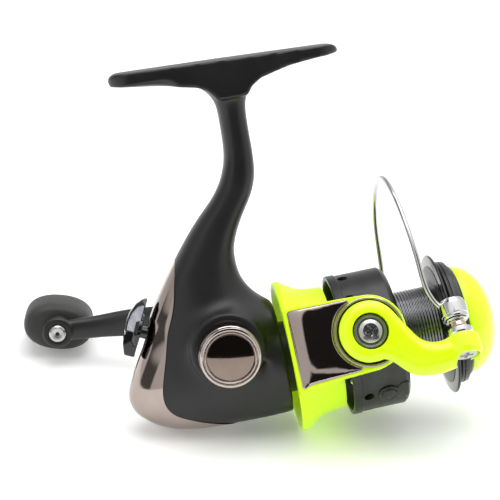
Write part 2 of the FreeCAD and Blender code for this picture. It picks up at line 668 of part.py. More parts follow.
# outer face of the near arm, (x, y): it leans in towards the rear
ARM_FACE = [(10, -20.5), (14.0, -21.6), (20.0, -22.9), (27.5, -ARM_OUTER), (60, -ARM_OUTER)]


def arm_outline(grow=0.0, rear=14.9):
    """Side outline of a rotor arm, (x, z), round about the bail pivot."""
    radius = size("arm_half") + grow
    rear_corners = [(rear - grow, -11.6 - grow), (17.8, -10.5 - grow), (27.8, -9.8 - grow)]
    return (rear_corners + half_ellipse(PIVOT_X, radius, radius, -math.pi / 2, 18)
            + [(24.0, 9.8 + grow), (rear - grow, 10.0 + grow)])


def rotor_cup():
    rim_radius, rim_x, drum_end = size("rim_rad"), size("rim_x"), size("drum_end")
    drum_radius = size("drum_rad")
    outside = [
        (rim_x, rim_radius), (rim_x + 1.6, rim_radius), (rim_x + 3.6, 18.4),
        (rim_x + 5.2, 17.3), (rim_x + 7.2, 16.6), (rim_x + 10, size("waist_rad") - 0.1),
        (29.0, 15.9), (drum_end - 0.8, drum_radius), (drum_end, drum_radius - 0.8)]
    inside = [
        (drum_end, 13.9), (24.8, 14.3), (24.8, 5.6), (26.6, 5.6), (26.6, 2.55), (22.4, 2.55),
        (22.4, 12.6), (21.6, 14.4), (19.0, 16.2), (rim_x, 18.3)]
    return revolve(outside + inside)


def near_rotor_arm():
    arm = prism_xz(arm_outline(), -ARM_OUTER, -12.0)
    arm = arm.common(prism_xy([(10, -10), (60, -10)] + ARM_FACE[::-1], -30, 30))
    # hollow under the spool skirt and inside the cup
    arm = arm.cut(rod_x(SPOOL_CLEARANCE_RADIUS, 27.2, 40))
    return biggest(arm.cut(revolve([(10, 0), (10, 18.3), (19.0, 16.2), (21.6, 14.6),
                                    (28, 14.6), (28, 0)])))


def rotor():
    near_arm = near_rotor_arm()
    shape = fuse(rotor_cup(), near_arm, rotated(near_arm, AXIS_X, 180))
    for side in (NEAR, FAR):
        bore = rod_out(side, PIVOT_BORE_RADIUS, PIVOT_X, size("arm_inner") - 1.5, 8)
        shape = shape.cut(rod_out(side, 6.2, PIVOT_X, ARM_OUTER - 2.3, 5)).cut(bore)
        # post in the middle of the pivot recess
        shape = shape.fuse(rod_out(side, 2.2, PIVOT_X, ARM_OUTER - 2.4, 2.4)).cut(bore)
        shape = shape.cut(rod_out(side, PEG_RADIUS, PEG_X, 18.0, 8))
    return shape.removeSplitter()


def near_arm_cover():
    """A skin over the near arm's outer face, open around the bail pivot."""
    thick = size("cover_thick")
    cover = prism_xz(arm_outline(-0.7, 15.0), -ARM_OUTER - thick, -12.0)
    skin = prism_xy([(x, y - thick) for x, y in ARM_FACE] + ARM_FACE[::-1], -30, 30)
    cover = cover.common(skin).cut(rod_y(8.2, (PIVOT_X, -30, 0), 20))
    return cover.cut(rod_y(0.85, (PEG_X, -30, 0), 20))


def rotor_nut():
    rear_x = 26.65
    hexagon = polygon([Vector(rear_x, *polar(5.0, angle)) for angle in full_turn(6)])
    nut = Part.Face(hexagon).extrude(Vector(2.9, 0, 0))
    return nut.cut(rod_x(2.55, 20, 6.91)).cut(rod_x(SHAFT_RADIUS + 0.1, 20, 20))


add_solid("rotor", rotor(), ROTOR)
near_cover = near_arm_cover()
add_solid("arm_cover_near", near_cover, ROTOR)
add_solid("arm_cover_far", rotated(near_cover, AXIS_X, 180), ROTOR)
add_group("arm_cover_pegs",
          [rod_out(side, PEG_RADIUS, PEG_X, 18.6, 4.6) for side in (NEAR, FAR)], ROTOR)
add_solid("rotor_nut", rotor_nut(), ROTOR)

# ---------------------------------------------------------------- bail
PIVOT_SHOULDER_RADIUS = 2.0
# side outline of the bail arm's plate, (x, z)
BAIL_ARM_OUTLINE = [
    (36.9, -7.45), (42.5, -12.2), (47.0, -13.7), (51.0, -13.7), (55.0, -13.0), (58.6, -12.2),
    (60.6, -10.6), (60.9, -8.6), (59.8, -6.0), (57.2, -5.4), (52.0, -5.8), (49.3, -5.7),
    (47.0, -4.6), (44.6, -1.6), (42.6, 1.6), (40.3, 5.2),
]
# lug on the far holder that takes the wire's end, (x, z)
LUG_OUTLINE = [(36.5, 6.7), (41.2, 7.6), (44.0, 5.4), (43.6, 2.2), (40.6, 1.2)]
# centre line of the wire, (x, y, z) from the cone to the far holder
WIRE_POINTS = [
    (53.5, -22.6, 2.6), (52.2, -22.4, 4.6), (51.2, -22.2, 8.2), (50.9, -21.8, 14.0),
    (50.6, -20.8, 21.0), (50.2, -18.2, 28.5), (49.8, -12.6, 36.0), (49.6, -5.5, 40.2),
    (49.4, 0.0, 41.2), (49.2, 5.5, 40.5), (48.7, 12.6, 36.8), (48.2, 18.2, 29.5),
    (47.9, 21.2, 21.5), (47.0, 22.7, 14.0), (45.0, 24.5, 8.0), (42.8, 25.5, 5.2),
]


def roller_rod(radius, start, length):
    """A cylinder on the roller's axis."""
    return cylinder(radius, ROLLER_BASE + ROLLER_AXIS * start, ROLLER_AXIS, length)


def holder_lug():
    return prism_xz(LUG_OUTLINE, 24.4, 26.6)


def bail_arm():
    boss = rod_y(size("bail_boss_rad"), (PIVOT_X, -26.4, 0), 2.95)
    arm = fuse(boss, prism_xz(BAIL_ARM_OUTLINE, -27.0, -24.4), roller_rod(4.4, 0, 5.2))
    # recess for the pivot screw's head, and the pivot hole
    arm = arm.cut(rod_y(4.5, (PIVOT_X, -27, 0), 1.7))
    arm = arm.cut(rod_y(PIVOT_SHOULDER_RADIUS + RUN_GAP, (PIVOT_X, -30, 0), 10))
    # recess and hole for the roller screw
    arm = arm.cut(roller_rod(3.4, -1, 2.6)).cut(roller_rod(1.0, 0, 12))
    # room for the spool and the roller
    return arm.cut(rod_x(SPOOL_CLEARANCE_RADIUS, 20, 60)).cut(roller_rod(5.2, 5.2, 20))


def bail_holder():
    holder = rod_y(7.0, (PIVOT_X, 23.45, 0), 2.75).fuse(holder_lug())
    holder = holder.cut(rod_y(4.0, (PIVOT_X, 24.9, 0), 4))
    bore = rod_y(PIVOT_SHOULDER_RADIUS + RUN_GAP, (PIVOT_X, 20, 0), 10)
    return holder.cut(bore).removeSplitter()


def bail_pivot_screw(side, floor_y):
    """Shank in the rotor's arm, shoulder for the bail, head over the recess floor."""
    shoulder_y = 23.3
    head_y = floor_y + RUN_GAP
    shank = rod_out(side, PIVOT_BORE_RADIUS, PIVOT_X, 20.0, 3.4)
    shoulder = rod_out(side, PIVOT_SHOULDER_RADIUS, PIVOT_X, shoulder_y,
                       head_y - shoulder_y + 0.02)
    return biggest(fuse(shank, shoulder, rod_out(side, 3.4, PIVOT_X, head_y, 0.85)))


def bail_spring_coil(side, depth):
    center = Vector(PIVOT_X, side * (ARM_OUTER - depth), 0)
    return Part.makeTorus(4.3, 0.45, center, Vector(*AXIS_Y))


def bail_wire():
    curve = Part.BSplineCurve()
    curve.interpolate([Vector(*point) for point in WIRE_POINTS])
    start_tangent = curve.tangent(curve.FirstParameter)[0]
    circle = Part.Circle(Vector(*WIRE_POINTS[0]), start_tangent, size("wire_rad"))
    profile = Part.Wire([circle.toShape()])
    pipe = Part.Wire([curve.toShape()]).makePipeShell([profile], True, True)
    return pipe.cut(holder_lug())


def bail_cone(wire):
    """A cup over the roller's end and a cone that runs out to the wire."""
    cup = revolve([(9.75, 0), (9.75, 3.3), (13.6, 3.45), (15.0, 2.9), (15.5, 1.9), (15.5, 0)])
    cup.Placement = ROLLER_LOCAL
    cone_base = Vector(56.6, -23.0, 0.4)
    cone = Part.makeCone(1.7, 0.85, 3.3, cone_base, Vector(*WIRE_POINTS[0]) - cone_base)
    return fuse(cup, cone).cut(wire).cut(roller_rod(0.98, 5, 8.5))


add_solid("bail_arm", bail_arm(), ROTOR)
add_solid("bail_holder", bail_holder(), ROTOR)
add_group("bail_pivot_screws", [bail_pivot_screw(NEAR, 25.3), bail_pivot_screw(FAR, 24.9)],
          ROTOR)
add_group("bail_springs",
          [bail_spring_coil(side, depth) for side in (NEAR, FAR) for depth in (1.7, 0.7)],
          ROTOR)
wire = bail_wire()
add_solid("bail_wire", wire, ROTOR)
add_solid("bail_cone", bail_cone(wire), ROTOR)
add_turned("roller_screw", [
    (0.15, 0), (0.15, 3.0), (1.3, 3.2), (1.55, 3.2), (1.55, 0.98), (13.2, 0.98), (13.2, 0)],
    ROLLER)
add_turned("line_roller", [
    (5.3, "1.5+run_gap"), (9.65, "1.5+run_gap"), (9.65, "roller_rad"), (9.1, "roller_rad"),
    (8.2, "roller_rad-0.9"), (7.2, "roller_rad-0.9"), (6.3, "roller_rad"),
    (5.3, "roller_rad")], ROLLER)

# ---------------------------------------------------------------- spool
SKIRT_RADIUS = size("skirt_rad")
SKIRT_WALL_RADIUS = SKIRT_RADIUS - 0.3      # in front of the rear band


def spool_body():
    """Skirt, arbor and front flange, with a ring of round holes in the skirt."""
    skirt_rear, skirt_front = size("skirt_rear"), size("skirt_front")
    arbor_radius, flange_x = size("arbor_rad"), size("flange_x")
    outside = [
        (skirt_rear, SKIRT_RADIUS - 0.9), (skirt_rear, SKIRT_RADIUS),
        (skirt_rear + 2.3, SKIRT_RADIUS), (skirt_rear + 2.4, SKIRT_WALL_RADIUS),
        (skirt_front - 0.8, SKIRT_WALL_RADIUS), (skirt_front, SKIRT_RADIUS - 1.1),
        (skirt_front, arbor_radius + 1.2), (skirt_front + 0.6, arbor_radius),
        (flange_x - 1.0, arbor_radius), (flange_x - 0.4, arbor_radius + 1.2),
        (flange_x - 0.1, 15.5)]
    inside = [
        (flange_x - 0.1, 12.4), (flange_x + 0.2, 12.4), (flange_x + 0.2, 9.2), (46.2, 9.2),
        (46.2, 2.75), (41.4, 2.75), (41.4, 5.0), (42.4, 6.4), (42.6, 16.4), (41.6, 17.3)]
    spool = revolve(outside + inside)
    for angle in full_turn(12):
        y, z = polar(1.0, angle + math.radians(8))
        spool = spool.cut(cylinder(1.25, (32.6, 12 * y, 12 * z), (0, y, z), 9))
    return spool


def line_clip():
    angle = math.radians(-38)
    outward = Vector(0, -math.cos(angle), math.sin(angle))
    clip = cylinder(2.6, Vector(38.0, 0, 0) + outward * SKIRT_WALL_RADIUS, outward, 0.55)
    return clip.cut(rod_x(SKIRT_WALL_RADIUS, 20, 40))


def drag_washer(x, thick):
    return rod_x(8.9, x, thick).cut(rod_x(2.9, x - 1, 4))


add_solid("spool_body", spool_body())
add_turned("spool_lip", [
    ("flange_x-0.05", 12.45), ("flange_x+1.0", 12.45), ("flange_x+1.0", 16.4),
    ("flange_x+0.75", "flange_rad-0.2"), ("flange_x+0.45", "flange_rad"),
    ("flange_x+0.1", "flange_rad-0.2"), ("flange_x-0.05", 15.5)])
add_solid("line_clip", line_clip())
add_group("drag_felts", [drag_washer(x, 1.0) for x in (46.3, 48.7, 51.1)])
add_group("drag_discs", [drag_washer(x, 1.2) for x in (47.4, 49.8)])
add_turned("spool_support", [
    (36.6, "shaft_rad"), (52.0, "shaft_rad"), (52.0, "2.75-run_gap"), (38.6, "2.75-run_gap"),
    (38.6, 4.6), (36.6, 4.6)])
# the click pawl rides on the support's collar, clear of the ring
add_solid("click_pawl", fuse(box(1.2, 1.6, 3.4, 37.0, -0.8, 4.65),
                             box(2.6, 1.2, 0.9, 37.0, -0.6, 6.3)))

# ---------------------------------------------------------------- drag knob
def dome_curve(rim_x, tip_x, radius):
    """Points of a dome between its rim and its tip, both left out."""
    angles = [math.radians(90 * k / 12.0) for k in range(1, 12)]
    return [(rim_x + (tip_x - rim_x) * math.sin(a), radius * math.cos(a) ** 0.92)
            for a in angles]


def drag_knob_cap():
    """A hollow dome."""
    radius, tip_x = size("dome_rad"), size("dome_tip")
    rim_x = size("dome_x") + 0.05
    inner_rim_x, inner_tip_x = size("dome_x") + 1.3, tip_x - 1.4
    step_x = size("knob_base_x") + 5.25
    outside = [(rim_x, radius - 0.55), (rim_x, radius + 0.5)]
    outside += dome_curve(rim_x, tip_x, radius + 0.5) + [(tip_x, 0.0)]
    inside = [(inner_tip_x, 0.0)] + dome_curve(inner_rim_x, inner_tip_x, radius - 0.9)[::-1]
    inside += [(step_x, radius - 0.95), (step_x, radius - 0.55)]
    return revolve(outside + inside)


add_turned("drag_knob_base", [
    ("knob_base_x", 2.0), ("knob_base_x+5.2", 2.0), ("knob_base_x+5.2", "dome_rad-0.6"),
    ("dome_x", "dome_rad-0.6"), ("dome_x", "dome_rad+0.7"), ("dome_x-0.6", "dome_rad+1.3"),
    ("dome_x-1.3", "dome_rad+1.4"), ("dome_x-1.4", "knob_base_rad-0.2"),
    ("knob_base_x+0.5", "knob_base_rad"), ("knob_base_x", "knob_base_rad-0.4"),
    ("knob_base_x", 12.0), ("knob_base_x+1.4", 11.0), ("knob_base_x+1.4", 5.0),
    ("knob_base_x", 4.6)])
add_solid("drag_knob_cap", drag_knob_cap())
add_solid("drag_spring", Part.makeTorus(4.0, 0.4, Vector(56.3, 0, 0), Vector(*AXIS_X)))


# ---------------------------------------------------------------- anti-reverse lever
def anti_reverse_lever():
    """Round base and pin on local X, a tapering thumb tab and a block beside it."""
    base = revolve([(0.9, 0), (0.9, 4.6), (2.2, 4.6), (2.9, 3.9), (2.9, 0)])
    pin = revolve([(-5.0, 0), (-5.0, LEVER_PIN_RADIUS), (1.0, LEVER_PIN_RADIUS), (1.0, 0)])
    tab = prism_xz([(1.3, 9.0), (2.6, 8.3), (3.9, 6.8), (4.8, 4.4), (5.1, 1.8), (4.9, -0.7),
                    (1.6, -0.7), (1.6, 2.2), (1.5, 5.5)], -2.6, 2.6)
    block = prism_xz([(1.6, -0.6), (4.9, -0.9), (4.5, -4.0), (3.6, -6.3), (1.5, -6.0)],
                     -2.9, 2.9)
    return fuse(base, pin, tab, block)


half_turn_x = Rotation(Vector(*AXIS_X), 180)
add_solid("anti_reverse_lever", anti_reverse_lever(), Placement(
    LEVER_BASE, Rotation(Vector(*AXIS_X), LEVER_AXIS).multiply(half_turn_x)))

# ---------------------------------------------------------------- checks and export
doc.recompute()
faults = []
for item in doc.Objects:
    if any(word in item.State for word in ("Invalid", "Error")):
        faults.append("%s: %s" % (item.Name, item.State))
for piece in PIECES:
    if piece.Shape.isNull() or not piece.Shape.isValid() or piece.Shape.Volume < 1e-3:
        faults.append("%s: shape" % piece.Label)
if faults:
    raise RuntimeError("; ".join(faults))
# clear pieces left by an earlier run
for filename in os.listdir("parts"):
    if filename.endswith(".step"):
        os.remove(os.path.join("parts", filename))
for piece in PIECES:
    piece.Shape.exportStep("parts/%s.step" % piece.Label)
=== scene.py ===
"""A spinning reel with its crank, bail, spool and drag knob.

The main shaft lies along X with the spool towards +X; the rod foot is on top (+Z). The camera
stands on the near side (-Y), and the folding crank reaches out on the far side (+Y).
"""
import json
import math
import bmesh
import bpy
import numpy as np
from mathutils import Matrix, Vector
from mathutils.geometry import delaunay_2d_cdt

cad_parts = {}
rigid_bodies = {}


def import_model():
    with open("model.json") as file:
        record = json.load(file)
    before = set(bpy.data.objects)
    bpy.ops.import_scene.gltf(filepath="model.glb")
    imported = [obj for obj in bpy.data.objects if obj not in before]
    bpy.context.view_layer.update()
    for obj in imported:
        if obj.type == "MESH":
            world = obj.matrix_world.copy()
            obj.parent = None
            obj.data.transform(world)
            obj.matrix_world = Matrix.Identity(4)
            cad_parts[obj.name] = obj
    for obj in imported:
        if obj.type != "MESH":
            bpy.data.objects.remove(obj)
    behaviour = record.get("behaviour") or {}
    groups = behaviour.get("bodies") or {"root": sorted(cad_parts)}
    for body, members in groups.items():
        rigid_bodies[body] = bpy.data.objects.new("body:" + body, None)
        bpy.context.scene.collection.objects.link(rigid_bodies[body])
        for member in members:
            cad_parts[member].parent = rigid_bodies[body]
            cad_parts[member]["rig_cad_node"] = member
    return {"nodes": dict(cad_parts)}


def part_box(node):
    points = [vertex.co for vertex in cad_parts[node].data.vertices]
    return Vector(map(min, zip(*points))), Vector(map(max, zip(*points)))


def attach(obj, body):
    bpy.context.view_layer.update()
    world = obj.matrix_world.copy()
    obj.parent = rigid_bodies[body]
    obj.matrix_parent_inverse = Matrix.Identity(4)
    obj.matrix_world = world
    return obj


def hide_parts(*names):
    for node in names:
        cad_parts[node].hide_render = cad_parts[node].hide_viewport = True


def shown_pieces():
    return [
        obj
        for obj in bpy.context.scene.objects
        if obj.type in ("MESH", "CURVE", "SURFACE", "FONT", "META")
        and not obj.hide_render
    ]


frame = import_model()
for old in list(bpy.data.objects):
    if old.type in ("LIGHT", "CAMERA") or (old.type == "MESH" and "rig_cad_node" not in old):
        bpy.data.objects.remove(old)
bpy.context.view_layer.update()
COLLECTION = bpy.context.scene.collection

# ------------------------------------------------------------------ driving dimensions (mm)
CRANK_Z = 7.87                      # crank axis above the shaft axis
PIVOT_X = 34.8                      # bail pivots along the shaft
ROTOR_TURN = -19.0                  # degrees about the shaft
SPOOL_ROOM = 18.95                  # radius kept free for the spool skirt
ARM_LENGTH = 45.1                   # crank axis to knob axis
EYE_Y = 46.0                        # middle of the eye at the knob end of the crank arm
FOLD_Y = 33.0                       # fold joint along the crank axis
KNOB_NEAR, KNOB_FAR = 49.6, 73.4    # ends of the knob along its axis
ROLLER_BASE = (56.6, -26.2, -10.9)  # in the rotor frame
ROLLER_AXIS = (0.0, 0.276, 0.961)
LEVER_BASE = (-20.1, 0.0, 14.2)
LEVER_AXIS = (-0.896, 0, 0.444)

shaft_low, shaft_high = (Vector(c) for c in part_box("main_shaft"))
SHAFT_END_TO_CRANK = 0.0156         # metres
ORIGIN = Vector((shaft_low.x + SHAFT_END_TO_CRANK, 0.0, 0.5 * (shaft_low.z + shaft_high.z)))


# ------------------------------------------------------------------ frames
def move(x, y, z):
    return Matrix.Translation((x, y, z))


def turn(degrees, axis):
    return Matrix.Rotation(math.radians(degrees), 4, axis)


def aim(direction):
    """Turn local X to a direction."""
    target = Vector(direction).normalized()
    return Vector((1, 0, 0)).rotation_difference(target).to_matrix().to_4x4()


def across(x, z):
    """Local X runs along +Y from a place in the XZ plane."""
    return move(x, 0, z) @ turn(90, "Z")


IDENTITY = Matrix.Identity(4)
AT_ROTOR = turn(ROTOR_TURN, "X")
AT_CRANK = across(0, CRANK_Z)
AT_HANDLE = move(0, 0, CRANK_Z) @ turn(1.5, "Y")
AT_FOLD = AT_HANDLE @ move(0, FOLD_Y, 0) @ turn(-90, "Y")
AT_KNOB = AT_HANDLE @ move(-ARM_LENGTH, 0, 0) @ turn(90, "Z")
AT_NEAR = AT_ROTOR @ move(PIVOT_X, 0, 0) @ turn(-90, "Z")
AT_FAR = AT_ROTOR @ move(PIVOT_X, 0, 0) @ turn(90, "Z")
AT_ROLLER = AT_ROTOR @ move(*ROLLER_BASE) @ aim(ROLLER_AXIS)
AT_LEVER = move(*LEVER_BASE) @ aim(LEVER_AXIS) @ turn(180, "X")


# ------------------------------------------------------------------ mesh helpers
def link(mesh):
    ob = bpy.data.objects.new("part", mesh)
    COLLECTION.objects.link(ob)
    return ob


def make(verts, faces, at=IDENTITY):
    mesh = bpy.data.meshes.new("part")
    mesh.from_pydata([tuple(v) for v in verts], [], [tuple(f) for f in faces])
    mesh.update()
    mesh.transform(at)
    bm = bmesh.new()
    bm.from_mesh(mesh)
    bmesh.ops.remove_doubles(bm, verts=bm.verts, dist=1e-4)
    bmesh.ops.recalc_face_normals(bm, faces=bm.faces)
    bm.to_mesh(mesh)
    bm.free()
    mesh.update()
    return link(mesh)


def evaluated_mesh(ob):
    bpy.context.view_layer.update()
    depsgraph = bpy.context.evaluated_depsgraph_get()
    return bpy.data.meshes.new_from_object(ob.evaluated_get(depsgraph))


def swap_mesh(ob, mesh):
    old_mesh = ob.data
    ob.data = mesh
    bpy.data.meshes.remove(old_mesh)


def bake(ob):
    mesh = evaluated_mesh(ob)
    ob.modifiers.clear()
    swap_mesh(ob, mesh)


def unchanged(mesh, other):
    return (len(mesh.polygons) == len(other.polygons)
            and len(mesh.vertices) == len(other.vertices))


def boolean(ob, tool, operation="DIFFERENCE"):
    """Apply a tool and remove it; the exact solver steps in where the manifold one does nothing."""
    for solver in ("MANIFOLD", "EXACT"):
        modifier = ob.modifiers.new("bool", "BOOLEAN")
        modifier.operation = operation
        modifier.object = tool
        modifier.solver = solver
        mesh = evaluated_mesh(ob)
        idle = (operation == "DIFFERENCE" and solver == "MANIFOLD"
                and unchanged(mesh, ob.data))
        worked = len(mesh.polygons) > 0 and not idle
        ob.modifiers.remove(modifier)
        if worked:
            swap_mesh(ob, mesh)
            break
        bpy.data.meshes.remove(mesh)
    bpy.data.objects.remove(tool)


def join(obs):
    """Gather objects in the same frame into the first one."""
    bm = bmesh.new()
    for ob in obs:
        bm.from_mesh(ob.data)
    bm.to_mesh(obs[0].data)
    bm.free()
    for ob in obs[1:]:
        bpy.data.objects.remove(ob)
    return obs[0]


def remesh(ob, voxel, smoothing):
    """Fuse overlapping solids on a voxel grid, then smooth away its steps."""
    modifier = ob.modifiers.new("r", "REMESH")
    modifier.mode = "VOXEL"
    modifier.voxel_size = voxel
    modifier.adaptivity = 0.0
    bake(ob)
    modifier = ob.modifiers.new("s", "SMOOTH")
    modifier.iterations = smoothing
    modifier.factor = 0.5
    bake(ob)


def soften(ob, weight, rounds):
    """Relax the surface where weight(co) is above zero, which rounds creases there."""
    mesh = ob.data
    count = len(mesh.vertices)
    co = np.zeros(count * 3, np.float64)
    mesh.vertices.foreach_get("co", co)
    co = co.reshape(-1, 3)
    edges = np.zeros(len(mesh.edges) * 2, np.int64)
    mesh.edges.foreach_get("vertices", edges)
    edges = edges.reshape(-1, 2)
    w = np.clip(weight(co), 0, 1)
    edges = edges[(w[edges[:, 0]] > 0) | (w[edges[:, 1]] > 0)]
    i = np.concatenate([edges[:, 0], edges[:, 1]])
    j = np.concatenate([edges[:, 1], edges[:, 0]])
    degree = np.maximum(1, np.bincount(i, minlength=count))
    live = np.where(w > 0)[0]
    for _ in range(rounds):
        mean = np.stack([np.bincount(i, weights=co[j, k], minlength=count) / degree
                         for k in range(3)], 1)
        co[live] += (0.5 * w[live])[:, None] * (mean[live] - co[live])
    mesh.vertices.foreach_set("co", co.ravel())
    mesh.update()


def bevel(ob, width, segments, angle):
    modifier = ob.modifiers.new("bv", "BEVEL")
    modifier.width = width
    modifier.segments = segments
    modifier.limit_method = "ANGLE"
    modifier.angle_limit = math.radians(angle)
    modifier.use_clamp_overlap = True
    bake(ob)


# ------------------------------------------------------------------ curves and outlines
def ramp01(value, low, high):
    t = np.clip((value - low) / (high - low), 0, 1)
    return t * t * (3 - 2 * t)


def signed_power(value, power):
    return math.copysign(abs(value) ** power, value)


def angle_between(cosine):
    return math.acos(max(-1, min(1, cosine)))


def rounded(corners, closed=False, steps=5):
    """Round the corners given as (a, b, radius); those given as (a, b) stay sharp."""
    out = []
    count = len(corners)
    for i, corner in enumerate(corners):
        radius = corner[2] if len(corner) > 2 else 0.0
        if radius <= 0 or (not closed and i in (0, count - 1)):
            out.append((float(corner[0]), float(corner[1])))
            continue
        before, here, after = (np.array(c[:2], float) for c in
                               (corners[i - 1], corner, corners[(i + 1) % count]))
        back, ahead = before - here, after - here
        back_length, ahead_length = np.linalg.norm(back), np.linalg.norm(ahead)
        back, ahead = back / back_length, ahead / ahead_length
        angle = angle_between(float(back @ ahead))
        if angle > math.pi - 0.03 or angle < 0.03:
            out.append((float(here[0]), float(here[1])))
            continue
        cut = min(radius / math.tan(angle / 2), 0.49 * back_length, 0.49 * ahead_length)
        radius = cut * math.tan(angle / 2)
        middle = (back + ahead) / np.linalg.norm(back + ahead)
        centre = here + middle * (radius / math.sin(angle / 2))
        start, end = here + back * cut - centre, here + ahead * cut - centre
        sweep_angle = angle_between(float(start @ end) / (radius * radius))
        for k in range(steps + 1):
            s = k / steps
            arm = (math.sin((1 - s) * sweep_angle) * start + math.sin(s * sweep_angle) * end)
            arm = arm / max(1e-9, math.sin(sweep_angle))
            out.append(tuple(float(c) for c in centre + arm))
    return out


def rounded_loop(points, radius, steps=4):
    return rounded([(a, b, radius) for a, b in points], True, steps)


def dense(path, step):
    out = [path[0]]
    for a, b in zip(path[:-1], path[1:]):
        length = math.hypot(b[0] - a[0], b[1] - a[1])
        count = max(1, int(math.ceil(length / step)))
        for k in range(1, count + 1):
            out.append((a[0] + (b[0] - a[0]) * k / count, a[1] + (b[1] - a[1]) * k / count))
    return out


def grown(points, distance):
    """Move a polygon's edges outwards."""
    P = np.array(points, float)
    following = np.roll(P, -1, axis=0)
    area = 0.5 * np.sum(P[:, 0] * following[:, 1] - following[:, 0] * P[:, 1])
    out = []
    for i in range(len(P)):
        edges = P[i] - P[i - 1], P[(i + 1) % len(P)] - P[i]
        normal0, normal1 = (np.array([e[1], -e[0]]) / np.linalg.norm(e) * np.sign(area)
                            for e in edges)
        middle = normal0 + normal1
        middle /= np.linalg.norm(middle)
        out.append(tuple(P[i] + middle * distance / max(0.5, float(middle @ normal1))))
    return out


def distance_to(outline, points):
    A = np.array(outline, float)
    D = np.roll(A, -1, axis=0) - A
    squared = np.maximum(1e-12, (D ** 2).sum(1))
    P = np.atleast_2d(np.array(points, float))
    best = np.full(len(P), 1e9)
    for a, d, length2 in zip(A, D, squared):
        t = np.clip(((P - a) @ d) / length2, 0, 1)
        best = np.minimum(best, np.linalg.norm(P - (a + t[:, None] * d), axis=1))
    return best


def inside(outline, points):
    A = np.array(outline, float)
    P = np.atleast_2d(np.array(points, float))
    odd = np.zeros(len(P), bool)
    for a, b in zip(A, np.roll(A, -1, axis=0)):
        crosses = (a[1] > P[:, 1]) != (b[1] > P[:, 1])
        with np.errstate(divide="ignore", invalid="ignore"):
            x = (b[0] - a[0]) * (P[:, 1] - a[1]) / (b[1] - a[1]) + a[0]
        odd ^= crosses & (P[:, 0] < x)
    return odd


def pchip(x, y, wanted):
    """Monotone cubic interpolation."""
    x, y, q = np.array(x, float), np.array(y, float), np.array(wanted, float)
    h, d = np.diff(x), np.diff(y) / np.diff(x)
    m = np.zeros(len(x))
    m[0], m[-1] = d[0], d[-1]
    for i in range(1, len(x) - 1):
        if d[i - 1] * d[i] > 0:
            w1, w2 = 2 * h[i] + h[i - 1], h[i] + 2 * h[i - 1]
            m[i] = (w1 + w2) / (w1 / d[i - 1] + w2 / d[i])
    k = np.clip(np.searchsorted(x, q) - 1, 0, len(h) - 1)
    t = (q - x[k]) / h[k]
    return ((2 * t ** 3 - 3 * t ** 2 + 1) * y[k] + (t ** 3 - 2 * t ** 2 + t) * h[k] * m[k]
            + (-2 * t ** 3 + 3 * t ** 2) * y[k + 1] + (t ** 3 - t ** 2) * h[k] * m[k + 1])


def spline(points, count):
    """Natural cubic through 3-D points, with a chord-length parameter."""
    P = np.array(points, float)
    s = np.concatenate([[0], np.cumsum(np.linalg.norm(np.diff(P, axis=0), axis=1))])
    N = len(s)
    h = np.diff(s)
    A = np.zeros((N, N))
    B = np.zeros((N, P.shape[1]))
    A[0, 0] = A[-1, -1] = 1
    for i in range(1, N - 1):
        A[i, i - 1], A[i, i], A[i, i + 1] = h[i - 1], 2 * (h[i - 1] + h[i]), h[i]
        B[i] = 6 * ((P[i + 1] - P[i]) / h[i] - (P[i] - P[i - 1]) / h[i - 1])
    C = np.linalg.solve(A, B)
    q = np.linspace(0, s[-1], count)
    k = np.clip(np.searchsorted(s, q) - 1, 0, N - 2)
    a, b = s[k + 1] - q, q - s[k]
    hk = h[k]
    return ((C[k] * (a ** 3)[:, None] + C[k + 1] * (b ** 3)[:, None]) / (6 * hk)[:, None]
            + (P[k] / hk[:, None] - C[k] * hk[:, None] / 6) * a[:, None]
            + (P[k + 1] / hk[:, None] - C[k + 1] * hk[:, None] / 6) * b[:, None])


def flat_spline(points, count):
    return [tuple(p) for p in spline([(a, b, 0) for a, b in points], count)[:, :2]]


def arc(centre_x, radius, angles):
    return [(centre_x + radius * math.cos(a), radius * math.sin(a)) for a in angles]


# ------------------------------------------------------------------ solids
def lathe(profile, at=IDENTITY, segments=128, closed=False, relief=None, step=None):
    """Turn a profile (x, r[, corner radius]) about local X; relief(x, r, angle) alters r."""
    path = rounded(profile, closed)
    if step:
        path = dense(path, step)
    verts, rings = [], []
    for x, r in path:
        if r < 1e-6:
            rings.append([len(verts)])
            verts.append((x, 0, 0))
            continue
        ring = []
        for k in range(segments):
            a = 2 * math.pi * k / segments
            radius = relief(x, r, a) if relief else r
            ring.append(len(verts))
            verts.append((x, radius * math.cos(a), radius * math.sin(a)))
        rings.append(ring)
    faces = []
    for A, B in list(zip(rings[:-1], rings[1:])) + ([(rings[-1], rings[0])] if closed else []):
        if len(A) == 1 and len(B) == 1:
            continue
        for k in range(segments):
            j = (k + 1) % segments
            if len(A) == 1:
                faces.append((A[0], B[k], B[j]))
            elif len(B) == 1:
                faces.append((A[k], A[j], B[0]))
            else:
                faces.append((A[k], A[j], B[j], B[k]))
    return make(verts, faces, at)


def cylinder(radius, start, end, at=IDENTITY, segments=64):
    return lathe([(start, 0), (start, radius), (end, radius), (end, 0)], at, segments)


def drill(ob, radius, start, end, at=IDENTITY, segments=64):
    boolean(ob, cylinder(radius, start, end, at, segments))


def loft(rings, at=IDENTITY):
    n = len(rings[0])
    verts = [tuple(p) for ring in rings for p in ring]
    faces = []
    for i in range(len(rings) - 1):
        for k in range(n):
            j = (k + 1) % n
            faces.append((i * n + k, i * n + j, (i + 1) * n + j, (i + 1) * n + k))
    for i in (0, len(rings) - 1):
        verts.append(tuple(np.mean(np.array(rings[i], float), axis=0)))
        for k in range(n):
            faces.append((i * n + k, i * n + (k + 1) % n, len(verts) - 1))
    return make(verts, faces, at)


